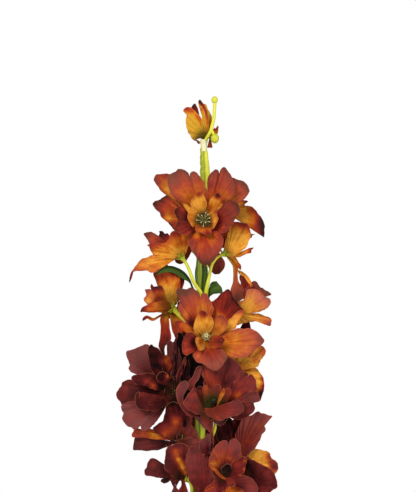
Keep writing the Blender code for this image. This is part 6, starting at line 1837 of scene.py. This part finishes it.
def addRod(shape):
    line = smoothLine([place(*p) for p in stemMake["line"]], stemMake["rings"])
    top = line[-1].z / mm
    chance = random.Random("rod")
    offset = Vector((chance.uniform(0, 50), chance.uniform(0, 50), 0))
    arc = stemMake["lobePoints"]
    mouth = math.acos(stemMake["lobeOff"] / stemMake["lobeRadius"])  # half of what the other lobe hides
    points, ripe = [], []
    for k, centre in enumerate(line):
        along = directionAt(line, k)
        side = (Vector((1, 0, 0)) - along * along.x).normalized()
        front = side.cross(along)
        above = max(0, centre.z / mm - stemMake["taperFrom"])
        size = 1 - stemMake["taper"] * above / (top - stemMake["taperFrom"])
        for lobe in (1, -1):
            for s in range(arc):
                angle = (math.pi - mouth) * (s / (arc - 1) * 2 - 1) + (0 if lobe > 0 else math.pi)
                across = stemMake["lobeOff"] * lobe + stemMake["lobeRadius"] * math.cos(angle)
                deep = stemMake["lobeRadius"] * math.sin(angle)
                spot = centre + (side * across + front * deep) * size * mm
                bump = noise.noise((spot + offset) * stemMake["knobScale"])
                bump *= 1.0 if lobe < 0 else stemMake["smoother"]
                outwards = side * (across - stemMake["lobeOff"] * lobe) + front * deep
                spot += outwards * mm * bump * stemMake["knobs"]
                points.append(spot)
                # painted shade: the stem is darker in the groove where the two lobes meet
                grooveShade = 1 - min(1, abs(across) / stemMake["grooveHalf"])
                high = min(1, max(0, (centre.z / mm - stemMake["freshFrom"]) / stemMake["freshOver"]))
                tone, fresher = stemMake["tones"]["right" if lobe > 0 else "left"]
                ripe.append(tone + fresher * high + bump * 0.14 - 0.2 * grooveShade)
    addShape(shape, points, tubeFaces(len(line), arc * 2), ripe)


def addStalk(shape, bloom):
    middle, facing = bloom["middle"], bloom["axis"]
    seat = middle - facing * (bloomCore(bloom) + stemMake["seatGap"]) * mm
    if "stalk" in bloom:  # in full view, so its own course is given
        line = [onSpray(*p) for p in bloom["stalk"]]
        seat = line.pop()
    else:
        start = stemCentre(middle.z - bloom["drop"] * mm)
        where, risen = stemMake["stalkBend"]
        bend = start.lerp(seat, where) + Vector((0, 0, (middle.z - start.z) * risen))
        line = [start, bend, *(seat - facing * behind * mm for behind in stemMake["straight"])]
    line = smoothLine([*line, seat], 6)
    thick, slim = bloom.get("stalkRadii", (stemMake["stalkRadius"], stemMake["stalkRadius"]))
    radii = []
    for k, p in enumerate(line):
        flare = max(0, 1 - (p - seat).length / (stemMake["calyxLong"] * mm))
        own = thick + (slim - thick) * k / (len(line) - 1)
        radii.append((own + (stemMake["calyxRadius"] - own) * flare ** stemMake["calyxPower"]) * mm)
    points, faces = tubeShape(line, radii, stemMake["stalkSides"])
    chance = random.Random("stalk " + bloom["name"])
    tone = chance.uniform(*stemMake["stalkTone"])
    near = [max(0, 1 - (p - seat).length / (stemMake["darkLong"] * mm)) for p in points]
    addShape(shape, points, faces, [tone - stemMake["calyxDarker"] * n for n in near])
    across = facing.orthogonal().normalized()
    for k in range(stemMake["sepals"]):
        turn = 2 * math.pi * (k + chance.uniform(-0.12, 0.12)) / stemMake["sepals"]
        lean = Matrix.Rotation(turn, 3, facing) @ across
        out, back = stemMake["sepalSeat"]
        tipOut, tipOn = stemMake["sepalTip"]
        viaOut, viaOn, along = stemMake["sepalVia"]
        root = seat + lean * out * mm - facing * back * mm
        shorter = stemMake["sepalDark"] if bloom["cloth"] == "petal_burgundy" else 1
        reach = stemMake["sepalLong"] * chance.uniform(0.85, 1.1) * shorter
        sepal = {
            "root": root,
            "via": root + (lean * viaOut + facing * viaOn) * reach * along * mm,
            "tip": root + (lean * tipOut + facing * tipOn) * reach * mm,
            "width": stemMake["sepalWide"] * mm,
            "cup": stemMake["sepalCup"],
            "curl": 0.0,
            "notch": 0.0,
            "shape": "point",
        }
        sepal["side"] = facing.cross((sepal["tip"] - root).normalized()).normalized()
        uneven = stemMake["sepalUneven"]
        sheet = bladeSheet(sepal, *stemMake["sepalGrid"], chance, uneven, uneven)
        u, v = sheet["u"], sheet["v"]
        tones = stemMake["sepalTone"]
        ripe = tones["root"] - tones["tipDarker"] * v + tones["rib"] * hump(u, tones["ribHalf"])
        addSheet(shape, sheet, chance, stemMake["sepalThick"] * mm, ripe, u * 0)


def addCollar(shape, collar):
    steps = collar["steps"]
    line, radii = [], []
    for k in range(steps + 1):
        height = collar["low"] + (collar["high"] - collar["low"]) * k / steps
        line.append(place(collar["right"] + collar["lean"] * k, 0, height))
        flare = (collar["top"] - collar["radius"]) * (k / steps) ** 2
        radii.append((collar["radius"] + flare + collar["ripple"] * math.sin(collar["rippleEvery"] * k)) * mm)
    addTube(shape, line, radii, collar["sides"], collar["ripe"])


stemShape = emptyShape()
addRod(stemShape)
for bloom in bloomSet:
    if bloom["drop"]:
        addStalk(stemShape, bloom)
addCollar(stemShape, stemMake["collar"])
tipLine = smoothLine([onSpray(*p) for p in stemMake["stalkTip"]], 8)
tipRadius, thinner = stemMake["tipRadius"], stemMake["tipThinner"]
tipRadii = [(tipRadius - thinner * k / len(tipLine)) * mm for k in range(len(tipLine))]
addTube(stemShape, tipLine, tipRadii, stemMake["tipSides"], stemMake["tipRipe"])
forkFrom, forkTo = onSpray(*stemMake["fork"]), onSpray(*stemMake["sideBall"]["at"])
forkLine = smoothLine([forkFrom, forkFrom.lerp(forkTo, 0.5) + place(stemMake["forkBow"], 0, 0), forkTo], 5)
forkRadii = [stemMake["forkRadius"] * mm] * len(forkLine)
addTube(stemShape, forkLine, forkRadii, stemMake["tipSides"], stemMake["tipRipe"])
for ball in (stemMake["tipBall"], stemMake["sideBall"]):
    make = (ball["radius"] * mm, ball["tall"], *stemMake["ballGrid"], stemMake["ballRough"])
    addBall(stemShape, ball["ripe"], onSpray(*ball["at"]), Vector((0, 0, 1)), *make)
newPiece("stem_plastic", stemShape, stemPlastic, "stem", "stem")
print("stem and stalks made")

leafMake = {
    "thickness": 0.42,
    "ruffle": 0.03,
    "wobble": 0.02,
    "grid": (19, 40),  # points across and along a leaf without edges of its own
    "rib": 0.14,  # how much paler the middle rib is
    "ribHalf": 0.09,
    "sideVeins": 0.07,
    "darkRim": 0.1,
}
archedLeaf = {
    "name": "arched", "root": (-5.6, -0.3, 147), "tip": (-31.3, 15, 15.5), "via": (-16, 9, 31.5),
    "face": (0.25, 0.7, 0.65), "width": 8.5, "cup": 0.6, "ripe": (0.1, 0.42),
    "edges": (
        [(198, 296), (196, 291.5), (193.8, 288), (192, 284), (190.5, 280), (188, 276), (184.5, 272),
        (180, 269), (175, 266.8), (170, 265.8), (165, 266.5), (160.5, 269), (157.5, 272), (155.6, 274.8)],
        [(197, 297), (194, 293), (191.5, 288), (190, 284), (187.5, 281.3), (184, 279.7), (180, 277.2),
        (176, 274.3), (172, 272.7), (167.5, 272.3), (164, 272.6), (160.5, 273.4), (157.5, 274.6),
        (155.5, 275.2)],
    ),
}
bractLeftLeaf = {
    "name": "bract_left", "root": (-4.4, 3.2, 138), "tip": (-2.5, 4, 41), "via": (-4, 5, 22),
    "face": (-0.3, 0.95, 0), "width": 6.5, "cup": 0.8, "ripe": (0.4, 1.0),
    "edges": (
        [(198.5, 305), (198.8, 296), (197.7, 289), (195.8, 282), (195, 276), (195.3, 270), (196.3, 264),
        (196.5, 258), (194, 254), (191.3, 251.4)],
        [(201, 305), (200.8, 296), (201.2, 288), (201.7, 280), (202, 272), (201.6, 265), (200, 259),
        (198, 256), (195.5, 253), (191.5, 251)],
    ),
}
bractRightLeaf = {
    "name": "bract_right", "root": (1.8, 3.6, 139), "tip": (-1.5, 4, 33), "via": (2.5, 5, 18),
    "face": (0.3, 0.95, 0), "width": 6.5, "cup": 0.8, "ripe": (0.3, 0.46),
    "edges": (
        [(204, 305), (201.7, 296), (201.5, 289), (202, 281), (202.4, 273), (202.3, 266), (201.9, 262),
        (201.6, 260)],
        [(206, 305), (203.7, 296), (204.7, 289), (206.3, 282), (207.4, 276), (207.7, 271), (206.7, 266.5),
        (202.4, 260)],
    ),
}
roundLeaf = {
    "name": "round", "root": (3.6, 1.5, 142), "tip": (13, 6, 4), "via": (6.5, 5, 20),
    "face": (0.2, 0.8, 0.5), "width": 13, "cup": 0.4, "ripe": (0.4, 0.46),
    "edges": (
        [(207, 301), (208.3, 296), (208.3, 291), (209.3, 287), (210.5, 283.5), (213, 281.6), (216.5, 281.2)],
        [(209, 301), (209.8, 297), (211.5, 295.3), (214, 294), (218, 293.6), (222.5, 292.5), (221.7, 287.5)],
    ),
}
lowLeftLeaf = {
    "name": "low_left", "root": (-14.2, 0.5, -84), "tip": (-44, 10, 10), "via": (-21, 9, 30),
    "face": (0.1, 0.6, 0.8), "width": 16, "cup": 0.5, "ripe": (0.44, 0.5),
}
lowRightLeaf = {
    "name": "low_right", "root": (-5.3, 1.5, -100), "tip": (47, 12, 3), "via": (24, 10, 29),
    "face": (-0.1, 0.6, 0.8), "width": 17, "cup": 0.5, "ripe": (0.42, 0.48),
}
lowRearLeaf = {
    "name": "low_rear", "root": (-8.2, -3.4, -94), "tip": (9, -46, 6), "via": (3, -24, 30),
    "face": (0, 0.3, 1), "width": 16, "cup": 0.5, "ripe": (0.46, 0.52),
}
leafSet = [archedLeaf, bractLeftLeaf, bractRightLeaf, roundLeaf, lowLeftLeaf, lowRightLeaf, lowRearLeaf]


def leafRipeness(tones, u, v):
    tone = tones[0] + (tones[1] - tones[0]) * (u + 1) / 2
    rib = hump(u, leafMake["ribHalf"])
    veins = (0.5 + 0.5 * np.cos(26 * v - 9 * np.abs(u))) ** 6
    dark = np.abs(u) ** 3
    return tone + leafMake["rib"] * rib + leafMake["sideVeins"] * veins - leafMake["darkRim"] * dark


for leaf in leafSet:
    root = onSpray(*leaf["root"])
    tip = root + place(*leaf["tip"])
    blade = {
        "root": root,
        "via": root + place(*leaf["via"]),
        "tip": tip,
        "width": leaf["width"] * mm,
        "cup": leaf["cup"],
        "curl": 0.0,
        "notch": 0.0,
        "shape": "point",
        "side": place(*leaf["face"]).normalized().cross((tip - root).normalized()).normalized(),
    }
    shape = emptyShape()
    chance = random.Random("leaf " + leaf["name"])
    if "edges" in leaf:
        sheet = stripSheet({**blade, "edges": leaf["edges"]}, chance)
    else:
        sheet = bladeSheet(blade, *leafMake["grid"], chance, leafMake["ruffle"], leafMake["wobble"])
    ripe = leafRipeness(leaf["ripe"], sheet["u"], sheet["v"])
    addSheet(shape, sheet, chance, leafMake["thickness"] * mm, ripe, sheet["u"] * 0)
    newPiece("leaf_" + leaf["name"] + "_cloth", shape, leafCloth, "leaf", "leaf_" + leaf["name"])
print("leaves cut:", len(leafSet))

# At the heart of each open bloom is a fuzzy olive dome with pale threads.
stamenMake = {
    "domeRadius": 3.1,
    "domeRough": 0.35,
    "domeTall": 0.8,
    "domeGrid": (22, 14),
    "domeOut": 0.4,  # mm from its foot to its middle
    "seat": 3.7,  # mm from the heart to the foot of the dome
    "hairs": 34,
    "hairLong": 4.6,
    "hairUneven": (0.75, 1.15),
    "hairFoot": (1.2, 2.2),  # mm forwards and outwards
    "hairFan": 1.5,
    "hairBend": 0.55,
    "hairBow": (0.1, 0.6),
    "hairRadius": 0.3,
    "hairThinner": 0.45,  # share of the radius that a hair loses up to its tip
    "hairTurn": 2.39996,  # radians from one hair to the next, which spreads them evenly
    "ripe": {"dome": 0.3, "hair": 0.22, "hairTip": 0.3, "thread": 0.85, "head": 0.92},
    "threads": 10,
    "threadRadius": 0.17,
    "threadFoot": 0.8,  # mm outwards
    "threadTurn": 0.3,
    "threadUneven": (0.75, 1.0),
    "threadBend": 0.6,
    "threadBow": (0.2, 0.8),
    "threadSides": 6,
    "headRadius": 0.42,
    "headTall": 1.4,
    "headGrid": (8, 6),
    "tone": {"front_middle": 0.35, "front_low": -0.8, "front_base": -0.9},  # paler or darker than the rest
    "size": {"crown": 1.15, "front_middle": 0.6, "front_low": 0.45, "front_base": 0.4},
    "threadShorter": 0.92,
    "spread": (1.8, 4.2),  # mm that the threads lean outwards
}
stamenRipe, sides = stamenMake["ripe"], stamenMake["threadSides"]
for bloom in bloomSet:
    if "stamens" not in bloom:
        continue
    chance = random.Random("stamens " + bloom["name"])
    middle, facing = bloom["middle"], bloom["axis"]
    paler = stamenMake["tone"].get(bloom["name"], 0.0)
    size = stamenMake["size"].get(bloom["name"], 1.0)
    seat = middle + facing * stamenMake["seat"] * mm
    across = facing.orthogonal().normalized()
    shape = emptyShape()
    dome = (facing, stamenMake["domeRadius"] * size * mm, stamenMake["domeTall"], *stamenMake["domeGrid"])
    domeMiddle = seat + facing * stamenMake["domeOut"] * mm
    addBall(shape, stamenRipe["dome"] + paler, domeMiddle, *dome, stamenMake["domeRough"])
    for k in range(stamenMake["hairs"]):
        lean = Matrix.Rotation(k * stamenMake["hairTurn"], 3, facing) @ across
        spread = math.sqrt((k + 0.5) / stamenMake["hairs"])
        forwards, outwards = stamenMake["hairFoot"]
        foot = seat + (facing * forwards + lean * spread * outwards) * size * mm
        way = (facing + lean * spread * stamenMake["hairFan"]).normalized()
        tip = foot + way * stamenMake["hairLong"] * size * chance.uniform(*stamenMake["hairUneven"]) * mm
        bend = foot.lerp(tip, stamenMake["hairBend"]) + facing * chance.uniform(*stamenMake["hairBow"]) * mm
        line = smoothLine([foot, bend, tip], 3)
        hair, thinner = stamenMake["hairRadius"] * mm, stamenMake["hairThinner"]
        radii = [hair * (1 - thinner * n / len(line)) for n in range(len(line))]
        low, rise = stamenRipe["hair"] + paler, stamenRipe["hairTip"]
        ripe = [low + rise * (n // sides) / len(line) for n in range(len(line) * sides)]
        addTube(shape, line, radii, sides, ripe)
    long = bloom["stamens"] * stamenMake["threadShorter"] * min(size, 1)
    for k in range(stamenMake["threads"]):
        sway = chance.uniform(-stamenMake["threadTurn"], stamenMake["threadTurn"])
        turn = 2 * math.pi * (k + sway) / stamenMake["threads"]
        lean = Matrix.Rotation(turn, 3, facing) @ across
        foot = seat + facing * mm + lean * stamenMake["threadFoot"] * mm
        tip = seat + facing * long * chance.uniform(*stamenMake["threadUneven"]) * mm
        tip += lean * chance.uniform(*stamenMake["spread"]) * size**2 * mm
        bend = foot.lerp(tip, stamenMake["threadBend"]) - lean * chance.uniform(*stamenMake["threadBow"]) * mm
        line = smoothLine([foot, bend, tip], 4)
        radii = [stamenMake["threadRadius"] * mm] * len(line)
        addTube(shape, line, radii, sides, stamenRipe["thread"] + min(paler, 0))
        head = (tip, (tip - bend).normalized(), stamenMake["headRadius"] * mm, stamenMake["headTall"])
        addBall(shape, stamenRipe["head"] + min(paler, 0), *head, *stamenMake["headGrid"])
    name = "stamens_" + bloom["name"]
    newPiece(name + "_threads", shape, stamenPlastic, "stamens", name)
print("stamens made")

vaseMake = {
    "knots": [(43, 5), (55.3, 49.35), (54.7, 98.7), (28.5, 155.1), (14.5, 192.7), (14.8, 216.2), (18, 233)],
    "foot": [(35.2, 1.6), (35.8, 0.5), (36.8, 0.0), (37.6, 0.0), (38.6, 0.5)],
    "footOutside": (38, 0),
    "lipInside": [(0.3, 1.4), (0.9, 0.6), (1.8, 0.1), (2.6, 0)],  # mm past the inner wall, and from the top
    "lipOutside": [(16.4, 0), (17.2, 0.3), (17.8, 1.0)],  # radius, and mm down from the top
    "floorBend": [(6, 0), (2.5, 0.9)],  # mm inwards from the inner wall and up from the floor
    "spare": 3.0,  # mm of the inner wall left out at the floor and at the lip
    "hollow": 1.8,  # mm by which the underside is turned out inside its ring
    "height": 235.0,
    "wall": 4.5,
    "floor": 8.0,
    "around": 96,
    "throwing": 0.10,  # depth in mm of the rings left by the potter's fingers
    "throwingTurns": 0.9,  # radians to a mm of height
    "throwingFrom": 20,  # mm of height where they have their full depth
}


def inward(outline, depth):
    moved = []
    for k, (radius, height) in enumerate(outline):
        before, after = outline[max(k - 1, 0)], outline[min(k + 1, len(outline) - 1)]
        run, climb = after[0] - before[0], after[1] - before[1]
        size = math.hypot(run, climb)
        moved.append((radius - depth * climb / size, height + depth * run / size))
    return moved


def throwing(height):
    depth = vaseMake["throwing"] * math.sin(height * vaseMake["throwingTurns"])
    return depth * min(1, height / vaseMake["throwingFrom"])


side = [(p.x, p.y) for p in smoothLine([Vector((r, z, 0)) for r, z in vaseMake["knots"]], 12)]
bottom, top = vaseMake["floor"], vaseMake["height"]
wall = [p for p in inward([vaseMake["footOutside"], *side], vaseMake["wall"])
        if bottom + vaseMake["spare"] < p[1] < top - vaseMake["spare"]]
profile = [
    (0.001, bottom),
    *((wall[0][0] - inwards, bottom + up) for inwards, up in vaseMake["floorBend"]),
    *wall,
    *((wall[-1][0] + outwards, top - down) for outwards, down in vaseMake["lipInside"]),
    *((radius, top - down) for radius, down in vaseMake["lipOutside"]),
    *((radius + throwing(height), height) for radius, height in reversed(side)),
    *reversed(vaseMake["foot"]),
    (0.001, vaseMake["hollow"]),
]
around = vaseMake["around"]
vasePoints = []
for radius, height in profile:
    for s in range(around):
        angle = 2 * math.pi * s / around
        vasePoints.append(Vector((radius * math.cos(angle), radius * math.sin(angle), height)) * mm)
vaseShape = emptyShape()
addShape(vaseShape, vasePoints, [tuple(reversed(f)) for f in tubeFaces(len(profile), around)], 0.0)
newPiece("vase_glazed", vaseShape, glaze, "vase", "vase")
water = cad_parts["water"]
for slotNumber in range(len(water.material_slots)):
    water.material_slots[slotNumber].material = waterClear
print("vase and water made")

floorMesh = bpy.data.meshes.new("studioFloor")
half = lightSetup["floorSize"] / 2
floorCorners = [(-half, -half, 0), (half, -half, 0), (half, half, 0), (-half, half, 0)]
floorMesh.from_pydata(floorCorners, [], [(0, 1, 2, 3)])
floorMesh.materials.append(floorPaint)
studioFloor = addObject("studioFloor", floorMesh)
